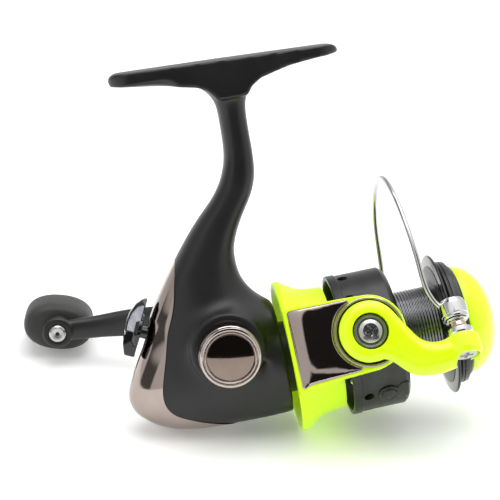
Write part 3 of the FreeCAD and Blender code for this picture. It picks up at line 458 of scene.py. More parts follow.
def prism(points, low, high, plane="XZ", at=IDENTITY):
    """Push a polygon drawn in the XZ or XY plane along the remaining axis."""
    n = len(points)
    verts = [(a, h, b) if plane == "XZ" else (a, b, h) for h in (low, high) for a, b in points]
    faces = [tuple(range(n)), tuple(range(2 * n - 1, n - 1, -1))]
    for k in range(n):
        j = (k + 1) % n
        faces.append((k, j, n + j, n + k))
    ob = make(verts, faces, at)
    bm = bmesh.new()
    bm.from_mesh(ob.data)
    bmesh.ops.triangulate(bm, faces=[f for f in bm.faces if len(f.verts) > 4])
    bmesh.ops.recalc_face_normals(bm, faces=bm.faces)
    bm.to_mesh(ob.data)
    bm.free()
    return ob


def box(low, high, at=IDENTITY):
    (a, b, c), (d, e, f) = low, high
    return prism([(a, b), (d, b), (d, e), (a, e)], c, f, "XY", at)


def rod(path, radii, at, segments):
    """A round rod along a path, with one radius per point."""
    P = np.array(path, float)
    tangent = np.gradient(P, axis=0)
    tangent /= np.linalg.norm(tangent, axis=1)[:, None]
    u = np.cross(tangent[0], [1, 0, 0] if abs(tangent[0][0]) < 0.9 else [0, 1, 0])
    angles = [2 * math.pi * k / segments for k in range(segments)]
    rings = []
    for centre, t, radius in zip(P, tangent, radii):
        u = u - t * (u @ t)
        u /= np.linalg.norm(u)
        v = np.cross(t, u)
        rings.append([centre + radius * (math.cos(a) * u + math.sin(a) * v) for a in angles])
    return loft(rings, at)


def slab(outline, height, border, to_point, base=0.0, step=0.45, crown=lambda V: 0.0):
    """A plate over an outline whose border rolls off from height to base.

    to_point(a, b, h) gives the point in space; crown adds height over the middle.
    """
    outline = dense([tuple(p) for p in outline] + [tuple(outline[0])], step)[:-1]
    points = list(outline)
    for angle in np.linspace(0, math.pi / 2, 9)[1:]:
        inset = border * (1 - math.cos(angle))
        ring = grown(outline, -inset)
        points += [tuple(p) for p, d, i in
                   zip(ring, distance_to(outline, ring), inside(outline, ring))
                   if i and d > inset * 0.985]
    A = np.array(outline)
    low, high = A.min(0), A.max(0)
    grid = [(x, y) for x in np.arange(low[0], high[0], step * 1.6)
            for y in np.arange(low[1], high[1], step * 1.6)]
    points += [tuple(p) for p, d, i in
               zip(grid, distance_to(outline, grid), inside(outline, grid))
               if i and d > border + 0.3]
    n = len(outline)
    verts, _, tris, *_ = delaunay_2d_cdt([Vector(p) for p in points],
                                         [(i, (i + 1) % n) for i in range(n)],
                                         [list(range(n))], 1, 1e-5)
    V = np.array([tuple(v) for v in verts])
    depth = np.minimum(distance_to(outline, V), border)
    roll = np.sqrt(np.maximum(0, 1 - (1 - depth / border) ** 2))
    h = base + (height - base + crown(V)) * roll
    top = [to_point(a, b, q) for (a, b), q in zip(V, h)]
    bottom = [to_point(a, b, -0.25) for a, b in V]
    m = len(top)
    edges = [(f[i], f[(i + 1) % len(f)]) for f in tris for i in range(len(f))]
    uses = {}
    for edge in edges:
        uses[frozenset(edge)] = uses.get(frozenset(edge), 0) + 1
    faces = [tuple(f) for f in tris] + [tuple(m + i for i in reversed(f)) for f in tris]
    faces += [(b, a, m + a, m + b) for a, b in edges if uses[frozenset((a, b))] == 1]
    return make(top + bottom, faces)


def cross_cutter(at, start, end, reach, width):
    """A cross recess: two tapered bars, turned 12 degrees, and a cone."""
    bars = []
    for angle in (0, 90):
        verts = []
        for x, a, w in ((start, reach, width), (end, reach * 0.55, width * 0.6)):
            verts += [(x, -a, -w), (x, a, -w), (x, a, w), (x, -a, w)]
        faces = [(0, 1, 2, 3), (7, 6, 5, 4), (0, 4, 5, 1), (1, 5, 6, 2), (2, 6, 7, 3),
                 (3, 7, 4, 0)]
        bars.append(make(verts, faces, at @ turn(angle + 12, "X")))
    cone = lathe([(start, 0), (start, width * 1.5), (end, width * 0.7), (end, 0)], at, 24)
    boolean(bars[0], bars[1], "UNION")
    boolean(bars[0], cone, "UNION")
    return bars[0]


def shade(ob, materials, sharp):
    """Smooth shading with edges above an angle (degrees) left sharp."""
    for p in ob.data.polygons:
        p.use_smooth = True
    ob.data.set_sharp_from_angle(angle=math.radians(sharp))
    ob.data.materials.clear()
    for m in materials:
        ob.data.materials.append(m)


def finish(ob, name, body, slot, *materials, replaces=None, sharp):
    """Carry a piece into metres, name it, shade it and set it riding on its body."""
    ob.data.transform(Matrix.Translation(ORIGIN) @ Matrix.Scale(0.001, 4))
    ob.name = name
    ob.data.name = name
    shade(ob, materials, sharp)
    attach(ob, body)
    if replaces:
        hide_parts(replaces)


# ------------------------------------------------------------------ materials
def node(tree, kind, **values):
    """Add a node; each value sets the input of that name, or else the property."""
    n = tree.nodes.new(kind)
    for key, value in values.items():
        if key in n.inputs:
            n.inputs[key].default_value = value
        else:
            setattr(n, key, value)
    return n


def color_ramp(tree, *stops):
    n = node(tree, "ShaderNodeValToRGB")
    for element, (position, _) in zip(n.color_ramp.elements, stops):
        element.position = position
    for element, (_, color) in zip(n.color_ramp.elements, stops):
        element.color = (*color, 1)
    return n


def material(name, light, dark, *, rough, grain, bump, blotch, metallic=0.0, specular=0.5,
             coat=0.0, sheen=0.0, painted_glow=None, fleck=0.0, stretch=(1, 1, 1), bump_depth=0.00002):
    """Large blotches mix two colours; a fine grain drives the bump.

    rough is the (low, high) roughness, grain and blotch are noise scales, fleck is how far
    the grain darkens and lightens the colour, and bump_depth is in metres.
    """
    m = bpy.data.materials.new(name)
    m.use_nodes = True
    tree = m.node_tree
    join_up = tree.links.new
    tree.nodes.clear()
    output = node(tree, "ShaderNodeOutputMaterial")
    surface = node(tree, "ShaderNodeBsdfPrincipled", **{
        "Metallic": metallic, "Specular IOR Level": specular, "Coat Weight": coat,
        "Coat Roughness": 0.08, "Sheen Weight": sheen})
    join_up(surface.outputs[0], output.inputs["Surface"])
    coords = node(tree, "ShaderNodeTexCoord")
    mapping = node(tree, "ShaderNodeMapping", Scale=stretch)
    join_up(coords.outputs["Object"], mapping.inputs["Vector"])
    big = node(tree, "ShaderNodeTexNoise", Scale=blotch, Detail=3.0, Roughness=0.55)
    fine = node(tree, "ShaderNodeTexNoise", Scale=grain, Detail=2.0, Roughness=0.6)
    join_up(mapping.outputs[0], big.inputs["Vector"])
    join_up(mapping.outputs[0], fine.inputs["Vector"])
    blotches = color_ramp(tree, (0.35, dark), (0.65, light))
    join_up(big.outputs["Fac"], blotches.inputs["Fac"])
    color = blotches.outputs["Color"]
    if fleck:
        mix = node(tree, "ShaderNodeMix", data_type="RGBA", blend_type="MULTIPLY")
        mix.inputs[0].default_value = fleck
        flecks = color_ramp(tree, (0.3, (0.6, 0.6, 0.6)), (0.7, (1.25, 1.25, 1.25)))
        join_up(fine.outputs["Fac"], flecks.inputs["Fac"])
        join_up(color, mix.inputs[6])
        join_up(flecks.outputs["Color"], mix.inputs[7])
        color = mix.outputs[2]
    join_up(color, surface.inputs["Base Color"])
    roughness = node(tree, "ShaderNodeMapRange", **{
        "From Min": 0.3, "From Max": 0.7, "To Min": rough[0], "To Max": rough[1]})
    join_up((fine if fleck or metallic else big).outputs["Fac"], roughness.inputs["Value"])
    join_up(roughness.outputs[0], surface.inputs["Roughness"])
    bumps = node(tree, "ShaderNodeBump", Strength=bump, Distance=bump_depth)
    join_up(fine.outputs["Fac"], bumps.inputs["Height"])
    join_up(bumps.outputs[0], surface.inputs["Normal"])
    # painted glow: a faint emission in the part's own colour makes it brighter than the lamps alone
    # light it
    if painted_glow:
        surface.inputs["Emission Color"].default_value = (*painted_glow, 1)
        surface.inputs["Emission Strength"].default_value = 0.15
    return m


BLACK = material("body_black", (0.0068, 0.0068, 0.0075), (0.0050, 0.0050, 0.0056),
                 rough=(0.33, 0.42), grain=5200, bump=0.35, blotch=90)
BRONZE = material("bronze_chrome", (0.40, 0.335, 0.305), (0.375, 0.31, 0.28), metallic=1.0,
                  rough=(0.045, 0.085), grain=900, bump=0.02, blotch=160)
DISC = material("bronze_disc", (0.25, 0.195, 0.165), (0.22, 0.17, 0.145), metallic=1.0,
                rough=(0.04, 0.07), grain=900, bump=0.02, blotch=160)
BRONZE_RING = material("bronze_ring", (0.52, 0.45, 0.42), (0.47, 0.40, 0.37), metallic=1.0,
                       rough=(0.08, 0.13), grain=2600, bump=0.05, blotch=300)
# painted glow for the neon parts: an emission colour that brightens them as if more light fell on
# them
NEON_PAINTED_GLOW = (0.55, 0.95, 0.0)
NEON = material("neon_plastic", (0.68, 0.98, 0.003), (0.655, 0.955, 0.002), painted_glow=NEON_PAINTED_GLOW,
                rough=(0.30, 0.38), grain=3800, bump=0.12, blotch=150, specular=0.45)
NEON_ARM = material("neon_arm", (0.68, 0.98, 0.003), (0.66, 0.96, 0.002), painted_glow=NEON_PAINTED_GLOW,
                    rough=(0.22, 0.30), grain=3800, bump=0.06, blotch=150, coat=0.25)
RUBBER = material("knob_rubber", (0.040, 0.040, 0.038), (0.031, 0.031, 0.030), fleck=0.25,
                  rough=(0.5, 0.62), grain=4200, bump=0.5, blotch=220, specular=0.4)
ARM_BLACK = material("arm_black", (0.0115, 0.0115, 0.013), (0.009, 0.009, 0.0105),
                     rough=(0.32, 0.4), grain=3600, bump=0.25, blotch=120)
GLOSS = material("black_plastic", (0.008, 0.008, 0.009), (0.006, 0.006, 0.007),
                 rough=(0.10, 0.16), grain=2200, bump=0.05, blotch=200, coat=0.4)
STEEL = material("steel", (0.50, 0.50, 0.51), (0.42, 0.42, 0.43), metallic=1.0,
                 rough=(0.20, 0.32), grain=3500, bump=0.10, blotch=400, fleck=0.15)
WIRE = material("wire_steel", (0.62, 0.62, 0.63), (0.55, 0.55, 0.56), metallic=1.0,
                rough=(0.10, 0.18), grain=3000, bump=0.04, blotch=300)
CHROME = material("chrome_parts", (0.72, 0.72, 0.72), (0.66, 0.66, 0.66), metallic=1.0,
                  rough=(0.05, 0.10), grain=1500, bump=0.02, blotch=300)
GOLD = material("titanium_roller", (0.70, 0.60, 0.52), (0.60, 0.50, 0.42), metallic=1.0,
                rough=(0.08, 0.14), grain=2400, bump=0.03, blotch=300)
SPOOL = material("spool_dark", (0.055, 0.055, 0.055), (0.045, 0.045, 0.045), metallic=0.9,
                 rough=(0.30, 0.38), grain=5200, bump=0.10, blotch=260, fleck=0.12)
SPOOL_GLOSS = material("spool_gloss", (0.065, 0.065, 0.068), (0.052, 0.052, 0.055),
                       metallic=0.95, rough=(0.10, 0.16), grain=3000, bump=0.05, blotch=260)
ARBOR = material("arbor_turned", (0.20, 0.20, 0.21), (0.155, 0.155, 0.16), metallic=1.0,
                 rough=(0.16, 0.24), grain=3000, bump=0.06, blotch=260)
# painted reflection: a pale lilac-grey, streaky colour standing in for the white tent mirrored in
# the glossy black fin
FIN_PAINTED_REFLECTION = material("lever_painted_reflection", (0.50, 0.50, 0.56), (0.38, 0.38, 0.44), metallic=0.55,
                    rough=(0.22, 0.34), grain=1600, bump=0.25, blotch=700, stretch=(1, 1, 0.25))
DRAG = material("drag_black", (0.022, 0.022, 0.023), (0.017, 0.017, 0.018), metallic=0.2,
                rough=(0.22, 0.30), grain=3600, bump=0.1, blotch=180)
BRASS = material("brass_gear", (0.72, 0.50, 0.20), (0.58, 0.38, 0.14), metallic=1.0,
                 rough=(0.22, 0.34), grain=2800, bump=0.12, blotch=500, fleck=0.2)
ZINC = material("zinc_gear", (0.44, 0.44, 0.43), (0.34, 0.34, 0.335), metallic=0.9,
                rough=(0.34, 0.48), grain=2600, bump=0.25, blotch=420, fleck=0.3)
FELT = material("felt", (0.15, 0.10, 0.06), (0.09, 0.06, 0.035), rough=(0.85, 0.98),
                grain=9000, bump=0.9, blotch=1400, specular=0.15, fleck=0.6, sheen=0.3,
                bump_depth=0.00008)
# painted shade: a near-black matte colour for thin sheets set at the floors of recesses and in gaps
PAINTED_SHADE = material("painted_shade_recess", (0.006, 0.006, 0.006), (0.004, 0.004, 0.004),
                rough=(0.5, 0.6), grain=3000, bump=0.1, blotch=200)
WASHER = material("washer_steel", (0.25, 0.25, 0.255), (0.20, 0.20, 0.205), metallic=0.95,
                  rough=(0.28, 0.38), grain=3200, bump=0.1, blotch=420, fleck=0.15)
SCREW = material("screw_steel", (0.55, 0.55, 0.54), (0.46, 0.46, 0.45), metallic=1.0,
                 rough=(0.16, 0.26), grain=2600, bump=0.08, blotch=420, fleck=0.12)

# ------------------------------------------------------------------ body
# cross-sections up the body: z, rear x, front x, half width
STATIONS = [
    (-13.45, -8.5, 16.0, 4.6), (-12.7, -15.5, 16.0, 7.2), (-11.2, -20.2, 16.0, 9.0),
    (-8.5, -24.1, 16.0, 10.6), (-5.0, -27.0, 16.0, 11.6), (-2.0, -27.5, 16.0, 12.0),
    (3.0, -25.4, 16.0, 12.1), (8.0, -22.7, 16.0, 11.7), (12.0, -20.2, 16.0, 11.0),
    (15.0, -19.0, 14.0, 10.2), (18.0, -17.7, 10.6, 9.4), (21.5, -15.5, 8.2, 8.5),
    (25.0, -13.1, 7.0, 7.7), (30.0, -9.4, 6.8, 6.9), (35.0, -5.4, 8.4, 6.2),
    (40.0, -1.0, 11.2, 5.6), (45.0, 4.2, 14.5, 5.0), (50.0, 7.5, 16.1, 4.6),
    (56.0, 9.25, 16.5, 4.3), (62.0, 9.6, 16.55, 4.3), (67.5, 9.7, 17.0, 4.6),
    (70.5, 8.9, 18.3, 5.1), (73.5, 6.2, 22.6, 5.7), (76.2, 1.5, 28.0, 6.0)]
# extra heights where the underside curls in
CURL_Z = (-13.45, -13.3, -13.1, -12.9, -12.6, -12.3, -11.9, -11.5)
# the seam between body and rear shell: x, z
SEAM = [(-6.7, 35.3), (-8.4, 31.1), (-10.1, 24.7), (-11.9, 18.8), (-13.8, 14.6),
        (-15.5, 9.0), (-17.4, 3.0), (-18.2, -0.3), (-18.3, -2.4), (-17.7, -4.7),
        (-16.1, -6.8), (-13.0, -8.6), (-9.1, -10.4), (-3.0, -12.6), (2.0, -14.4)]
# the side plate's outline: x, z
PLATE = [(12.2, -11.0), (12.0, 9.0), (8.6, 15.0), (4.6, 23.0), (0.5, 26.6), (-5.0, 27.4),
         (-8.6, 25.2), (-11.3, 16.5), (-14.0, 9.0), (-16.4, 2.0), (-16.4, -3.4),
         (-15.0, -7.0), (-11.0, -10.2), (0.0, -11.6)]
# the open room inside the body: x, z
ROOM = [(12.4, -11.2), (12.4, 12.6), (9.0, 15.2), (4.5, 19.6), (-3.0, 21.0), (-9.0, 21.0),
        (-14.0, 17.0), (-17.6, 12.0), (-21.0, 6.5), (-23.4, 1.0), (-23.6, -3.0),
        (-20.6, -7.6), (-15.0, -10.4), (-6.0, -11.5)]
# the rod foot from the side, with a flat seat on top and a drooping underside: x, z
FOOT_SIDE = [(-15.9, 79.2), (-15.6, 79.95), (-14.9, 80.5), (-13.7, 80.73), (40.6, 77.72),
             (41.7, 77.3), (42.3, 76.6), (42.55, 75.9), (42.4, 75.3), (36.0, 75.15),
             (29.5, 74.7), (25.0, 73.8), (21.6, 73.0), (19.2, 71.6), (17.6, 69.5),
             (9.9, 69.5), (9.2, 70.8), (7.8, 72.5), (5.5, 73.7), (-2.0, 75.4),
             (-9.0, 76.6), (-15.6, 77.8)]
FOOT_HALF = 7.0
# bores through the body: radius, start, end, frame
BORES = [(5.6, -20, 20, AT_CRANK), (6.5, -12.2, -4, AT_CRANK), (6.5, 4.2, 12.2, AT_CRANK),
         (5.5, 10, 18, IDENTITY), (12.6, 1.6, 7.2, AT_CRANK)]
PLATE_SCREWS = [(9.2, -8.0), (-9.0, -7.4), (-3.8, 23.4)]    # x, z
PLATE_Y = (7.2, 30)
PLATE_GAP = 0.16
SHELL_GAP = 0.13


def body_sizes(heights):
    """Rear x, front x and half width at each height, smoothed except along the underside."""
    station_z = [s[0] for s in STATIONS]
    fine = np.linspace(station_z[0], station_z[-1], 900)
    pad = 60
    kernel = np.exp(-0.5 * (np.arange(-pad, pad + 1) * (fine[1] - fine[0]) / 1.5) ** 2)
    kernel /= kernel.sum()
    mix = ramp01(fine, -9.0, -3.0)
    columns = []
    for i in (1, 2, 3):
        v = pchip(station_z, [s[i] for s in STATIONS], fine)
        padded = np.concatenate([2 * v[0] - v[pad:0:-1], v, 2 * v[-1] - v[-2:-pad - 2:-1]])
        soft = np.convolve(padded, kernel, "valid")
        at = np.clip(heights, station_z[0], station_z[-1])
        columns.append(np.interp(at, fine, v * (1 - mix) + soft * mix))
    return columns


def growth(z, centre, width):
    """The denominator of a logistic step."""
    return 1.0 + math.exp((z - centre) / width)


def body_rings(low, high, count, inset=0.0, sides=112):
    heights = low + (high - low) * np.linspace(0, 1, count)
    curl = [z for z in CURL_Z if low <= z <= high]
    heights = np.unique(np.concatenate([heights, curl]))
    rings = []
    for z, rear, front, half in zip(heights, *body_sizes(heights)):
        rear, front, half = rear + inset, front - inset, half - inset
        middle = 0.5 * (rear + front) + 2.0 / growth(z, 16.5, 1.2)
        rear_power = 2.1 + 0.4 / growth(z, 24, -2.0)
        front_power = rear_power + (4.0 - rear_power) / growth(z, 15.5, 1.5)
        ring = []
        for j in range(sides):
            angle = 2 * math.pi * j / sides
            c, s = math.cos(angle), math.sin(angle)
            reach = (front - middle) if c >= 0 else (middle - rear)
            power = front_power if c >= 0 else rear_power
            ring.append((middle + reach * signed_power(c, 2.0 / power),
                         half * signed_power(s, 2.0 / power), z))
        rings.append(ring)
    return rings


def behind_seam(gap):
    """The zone behind the seam, its seam edge moved rearwards by a gap."""
    points = [(-60, 60), (-13.0 - gap, 60), (-6.2 - gap, 37.0)]
    points += [(x - gap, z) for x, z in flat_spline(SEAM, 90)]
    points += [(2.0 - gap, -40), (-60, -40)]
    return prism(points, -40, 40)


def rod_foot():
    def tip(centre, reach, start, end):
        return [(centre + reach * math.cos(a), 0.78 * FOOT_HALF * math.sin(a))
                for a in np.linspace(start, end, 31)]

    foot = prism(FOOT_SIDE, -9, 9)
    plan = tip(36.6, 6.0, -math.pi / 2, math.pi / 2) + [(14.0, FOOT_HALF)]
    plan += tip(-10.2, 5.8, math.pi / 2, 1.5 * math.pi) + [(14.0, -FOOT_HALF)]
    boolean(foot, prism(plan, 60, 90, "XY"), "INTERSECT")
    return foot


def around_boss(co):
    r = np.hypot(co[:, 0], co[:, 2] - CRANK_Z)
    return (ramp01(r, 10.0, 11.0) * ramp01(-r, -22.0, -19.0)
            * ramp01(np.abs(co[:, 1]), 3.0, 5.0) * ramp01(-co[:, 0], -13.0, -11.5))


def under_foot(co):
    return (ramp01(co[:, 2], 64.0, 69.0) * ramp01(-co[:, 2], -77.6, -75.0)
            * ramp01(-np.abs(co[:, 0] + 13.45), -15.0, -9.0))


def body_and_side_plate():
    body = loft(body_rings(STATIONS[0][0], STATIONS[-1][0], 150))
    boolean(body, box((14.0, -40, -20), (60, 40, 20)))
    parts = [body, cylinder(13.5, 9, 14.0, segments=96)]
    for side in (-1, 1):
        parts.append(lathe([(2.0, 0), (2.0, 12.6), (7.84, 11.9), (9.4, 11.0), (11.2, 10.1),
                            (12.5, 9.5), (12.84, 9.2), (12.84, 0)],
                           move(0, 0, CRANK_Z) @ turn(90 * side, "Z"), 96))
    parts.append(rod_foot())
    body = join(parts)
    remesh(body, 0.36, 9)
    soften(body, around_boss, 260)
    soften(body, under_foot, 260)

    room = prism(ROOM, -9.6, 9.6)
    boolean(room, loft(body_rings(-12.0, 30.0, 60, inset=1.9, sides=80)), "INTERSECT")
    boolean(body, room)
    for radius, start, end, at in BORES:
        drill(body, radius, start, end, at, 96)
    boolean(body, behind_seam(0.0))

    side_plate = link(body.data.copy())
    boolean(body, prism(rounded_loop(PLATE, 1.2), *PLATE_Y))
    boolean(side_plate, prism(rounded_loop(grown(PLATE, -PLATE_GAP), 1.2), *PLATE_Y),
            "INTERSECT")
    for x, z in PLATE_SCREWS:
        drill(side_plate, 2.1, 8.6, 20, across(x, z), 40)
        drill(side_plate, 1.05, 0, 20, across(x, z), 32)
    collar = lathe([(13.9, 8.0), (13.9, 9.3), (21.4, 9.3, 0.3), (21.6, 9.1), (21.6, 8.0)],
                   segments=96, closed=True)
    finish(join([body, collar]), "body_shell", "reel_body", "body_black", BLACK,
           replaces="body_housing", sharp=40)
    finish(side_plate, "side_plate", "reel_body", "body_black", BLACK,
           replaces="side_cover", sharp=40)


def rear_shell():
    shell = loft(body_rings(-13.42, 38.0, 120, sides=160))
    boolean(shell, behind_seam(SHELL_GAP), "INTERSECT")
    boolean(shell, loft(body_rings(-12.25, 36.5, 60, inset=1.25, sides=96)))
    drill(shell, 1.66, -8, 14, AT_LEVER, 40)
    finish(shell, "rear_shell", "reel_body", "bronze_chrome", BRONZE,
           replaces="rear_cover", sharp=35)


def side_plate_screws():
    screws = []
    for x, z in PLATE_SCREWS:
        at = across(x, z)
        screw = lathe([(-3.0, 0), (-3.0, 0.9), (8.6, 0.9), (8.6, 1.95), (9.3, 1.95, 0.25),
                       (9.75, 1.3, 0.5), (9.85, 0)], at, 48)
        boolean(screw, cross_cutter(at, start=9.95, end=8.9, reach=1.25, width=0.26))
        screws.append(screw)
    finish(join(screws), "side_plate_screws", "reel_body", "steel", SCREW,
           replaces="side_cover_screws", sharp=30)


# ------------------------------------------------------------------ cap on the near side
KNURLS = 96
KNURL_DEPTH = 0.19
KNURL_START, KNURL_END = -18.45, -13.7
MIRROR_RADIUS = 6.0


def knurl(x, r, angle):
    if KNURL_START < x < KNURL_END and r > 7.5:
        edge = min(1.0, (x - KNURL_START) / 0.35, (KNURL_END - x) / 0.35)
        return r - KNURL_DEPTH * edge * (0.5 + 0.5 * math.cos(KNURLS * angle)) ** 1.2
    return r


def screw_cap():
    cap = lathe([(-19.36, 0), (-19.36, 6.16), (-19.92, 6.18, 0.04), (-20.0, 6.26, 0.1),
                 (-20.0, 6.44, 0.12), (-19.5, 6.52, 0.03), (-19.5, 6.78, 0.03),
                 (-20.0, 6.86, 0.08), (-20.06, 7.1, 0.25), (-19.85, 7.62, 0.3),
                 (-19.1, 7.8, 0.1), (-18.95, 7.62, 0.05), (-18.7, 7.62, 0.05),
                 (-18.5, 7.85, 0.08), (-13.6, 7.85, 0.2), (-13.1, 7.5), (-13.1, 1.15),
                 (11.0, 1.15), (11.0, 0)],
                AT_CRANK, KNURLS * 6, relief=knurl, step=0.6)
    finish(cap, "screw_cap", "crank", "bronze_chrome", BRONZE_RING,
           replaces="handle_cap", sharp=40)
    dish = [(-19.97 + 0.50 * (r / MIRROR_RADIUS) ** 2, r)
            for r in np.linspace(0, MIRROR_RADIUS, 26)]
    mirror = lathe(dish + [(-19.40, 6.1), (-19.36, 6.1), (-19.36, 0)], AT_CRANK, 160)
    finish(mirror, "cap_mirror", "crank", "chrome_parts", DISC, replaces="cap_disc", sharp=40)


# ------------------------------------------------------------------ crank hub, arm and knob
# arm sections: distance from the crank axis towards -X, y, half size in y, half in z, z
ARM_SECTIONS = [
    (5.2, FOLD_Y, 2.9, 2.4, 0), (6.2, FOLD_Y + 0.8, 3.1, 3.1, 0),
    (10.0, FOLD_Y + 3.2, 2.9, 3.7, -0.25), (16.0, EYE_Y - 5.6, 2.7, 3.9, -0.6),
    (24.0, EYE_Y - 2.1, 2.5, 3.85, -0.75), (34.0, EYE_Y - 0.5, 2.35, 3.2, -0.5),
    (ARM_LENGTH - 1.0, EYE_Y, 2.1, 2.9, 0)]
# knob sections: y, and the parts of the full half width and half height
KNOB_SECTIONS = [
    (KNOB_NEAR, 0.62, 0.58), (KNOB_NEAR + 0.15, 0.76, 0.72), (KNOB_NEAR + 0.6, 0.86, 0.84),
    (KNOB_NEAR + 1.5, 0.935, 0.925), (KNOB_NEAR + 3.2, 0.98, 0.98),
    (KNOB_NEAR + 6.0, 1.0, 1.0), (KNOB_NEAR + 12.0, 1.0, 0.99),
    (KNOB_FAR - 6.0, 0.985, 0.93), (KNOB_FAR - 3.0, 0.95, 0.85),
    (KNOB_FAR - 1.3, 0.88, 0.74), (KNOB_FAR - 0.4, 0.76, 0.6), (KNOB_FAR, 0.6, 0.44)]
KNOB_HALF_WIDTH, KNOB_HALF_HEIGHT = 10.15, 6.85
KNOB_TWIST = 16.0       # degrees about its axis


def crank_hub():
    hub = lathe([(12.62, 0), (12.62, 2.0), (13.1, 2.0), (13.1, 5.6, 0.3), (14.6, 5.6, 0.3),
                 (15.6, 5.2, 0.8), (35.4, 5.2, 0.9), (36.3, 4.3, 0.6), (36.3, 0)],
                AT_HANDLE @ turn(90, "Z"), 96)
    boolean(hub, box((-8, FOLD_Y - 4.6, -2.5), (6, FOLD_Y + 6.4, 2.5), AT_HANDLE))
    drill(hub, 1.0, -10, 10, AT_FOLD, 32)
    bevel(hub, width=0.25, segments=3, angle=50)
    finish(hub, "crank_hub", "crank", "body_black", ARM_BLACK,
           replaces="handle_hub", sharp=35)


def crank_arm():
    reaches = [s[0] for s in ARM_SECTIONS]
    wanted = np.linspace(reaches[0], reaches[-1], 70)
    columns = [pchip(reaches, [s[i] for s in ARM_SECTIONS], wanted) for i in (1, 2, 3, 4)]
    angles = np.linspace(0, 2 * math.pi, 40, endpoint=False)
    rings = [[(-reach, y + half_y * signed_power(math.cos(a), 0.8),
               z + half_z * signed_power(math.sin(a), 0.8)) for a in angles]
             for reach, y, half_y, half_z, z in zip(wanted, *columns)]
    bar = loft(rings, AT_HANDLE)
    tongue = cylinder(3.6, -2.4, 2.4, AT_FOLD)
    root = box((-7.0, FOLD_Y - 3.2, -2.4), (0, FOLD_Y + 3.2, 2.4), AT_HANDLE)
    eye = lathe([(EYE_Y - 2.7, 0), (EYE_Y - 2.7, 4.3, 0.5), (EYE_Y + 2.5, 4.3, 0.5),
                 (EYE_Y + 2.5, 0)], AT_KNOB, 96)
    arm = join([bar, tongue, root, eye])
    remesh(arm, 0.26, 5)
    drill(arm, 3.05, EYE_Y - 4, EYE_Y - 2.35, AT_KNOB)
    drill(arm, 1.82, EYE_Y - 6, EYE_Y + 6, AT_KNOB, 48)
    drill(arm, 1.06, -10, 10, AT_FOLD, 32)
    finish(arm, "crank_arm_bar", "crank_arm", "body_black", ARM_BLACK,
           replaces="handle_arm", sharp=45)


def knob_rivet():
    rivet = lathe([(EYE_Y - 3.15, 0), (EYE_Y - 3.1, 0.42, 0.1), (EYE_Y - 3.45, 0.6, 0.12),
                   (EYE_Y - 3.5, 1.9, 0.35), (EYE_Y - 3.1, 2.4, 0.25),
                   (EYE_Y - 2.5, 2.45, 0.1), (EYE_Y - 2.4, 1.78), (EYE_Y + 2.55, 1.78),
                   (EYE_Y + 2.55, 2.9), (EYE_Y + 3.2, 2.9), (EYE_Y + 3.2, 1.78),
                   (KNOB_FAR - 4.0, 1.78), (KNOB_FAR - 4.0, 2.4), (KNOB_FAR - 3.2, 2.4),
                   (KNOB_FAR - 3.2, 0)], AT_KNOB, 80)
    # a dark plug in the rivet's hollow centre: painted shade
    centre = cylinder(0.45, EYE_Y - 3.3, EYE_Y - 2.9, AT_KNOB, 32)
    finish(rivet, "knob_rivet", "crank_arm", "steel", SCREW, replaces="knob_axle", sharp=35)
    finish(centre, "knob_rivet_painted_shade", "crank_arm", "steel", PAINTED_SHADE, sharp=35)


def crank_knob():
    ys = np.concatenate([np.linspace(KNOB_NEAR, KNOB_NEAR + 3, 14),
                         np.linspace(KNOB_NEAR + 3, KNOB_FAR - 4, 26)[1:],
                         np.linspace(KNOB_FAR - 4, KNOB_FAR, 16)[1:]])
    # each section sits a hair further out than the one before
    section_y = [s[0] + 1e-4 * i for i, s in enumerate(KNOB_SECTIONS)]
    widths, heights = (pchip(section_y, [s[i] for s in KNOB_SECTIONS], ys) for i in (1, 2))
    angles = np.linspace(0, 2 * math.pi, 96, endpoint=False)
    rings = [[(w * KNOB_HALF_WIDTH * signed_power(math.cos(a), 0.9), y,
               h * KNOB_HALF_HEIGHT * signed_power(math.sin(a), 0.9)) for a in angles]
             for y, w, h in zip(ys, widths, heights)]
    knob = loft(rings, AT_HANDLE @ move(-ARM_LENGTH, 0, 0) @ turn(KNOB_TWIST, "Y"))
    drill(knob, 1.9, KNOB_NEAR - 2, KNOB_FAR - 3.0, AT_KNOB, 48)
    drill(knob, 2.6, KNOB_FAR - 4.3, KNOB_FAR - 2.9, AT_KNOB, 48)
    finish(knob, "crank_knob", "knob", "knob_rubber", RUBBER,
           replaces="handle_knob", sharp=42)


# ------------------------------------------------------------------ rotor
# the cup's wall: x, radius, corner radius
ROTOR_CUP = [(15.0, 19.77, 0.35), (16.6, 19.77, 0.7), (18.6, 18.4, 3.0), (20.2, 17.3, 4.0),
             (22.2, 16.6, 4.0), (25.0, 16.2, 5.0), (29.0, 15.9), (33.7, 15.7, 0.4),
             (34.5, 14.9, 0.3), (34.5, 13.9, 0.2), (24.8, 14.3), (24.8, 5.6), (26.6, 5.6),
             (26.6, 2.55), (22.4, 2.55), (22.4, 12.6), (21.6, 14.4), (19.0, 16.2),
             (15.0, 18.3, 0.3)]
# how the arms' outer faces lean out: x, distance from the shaft
LEAN = [(10, 20.5), (14.0, 21.6), (20.0, 22.9), (27.5, 23.3), (60, 23.3)]


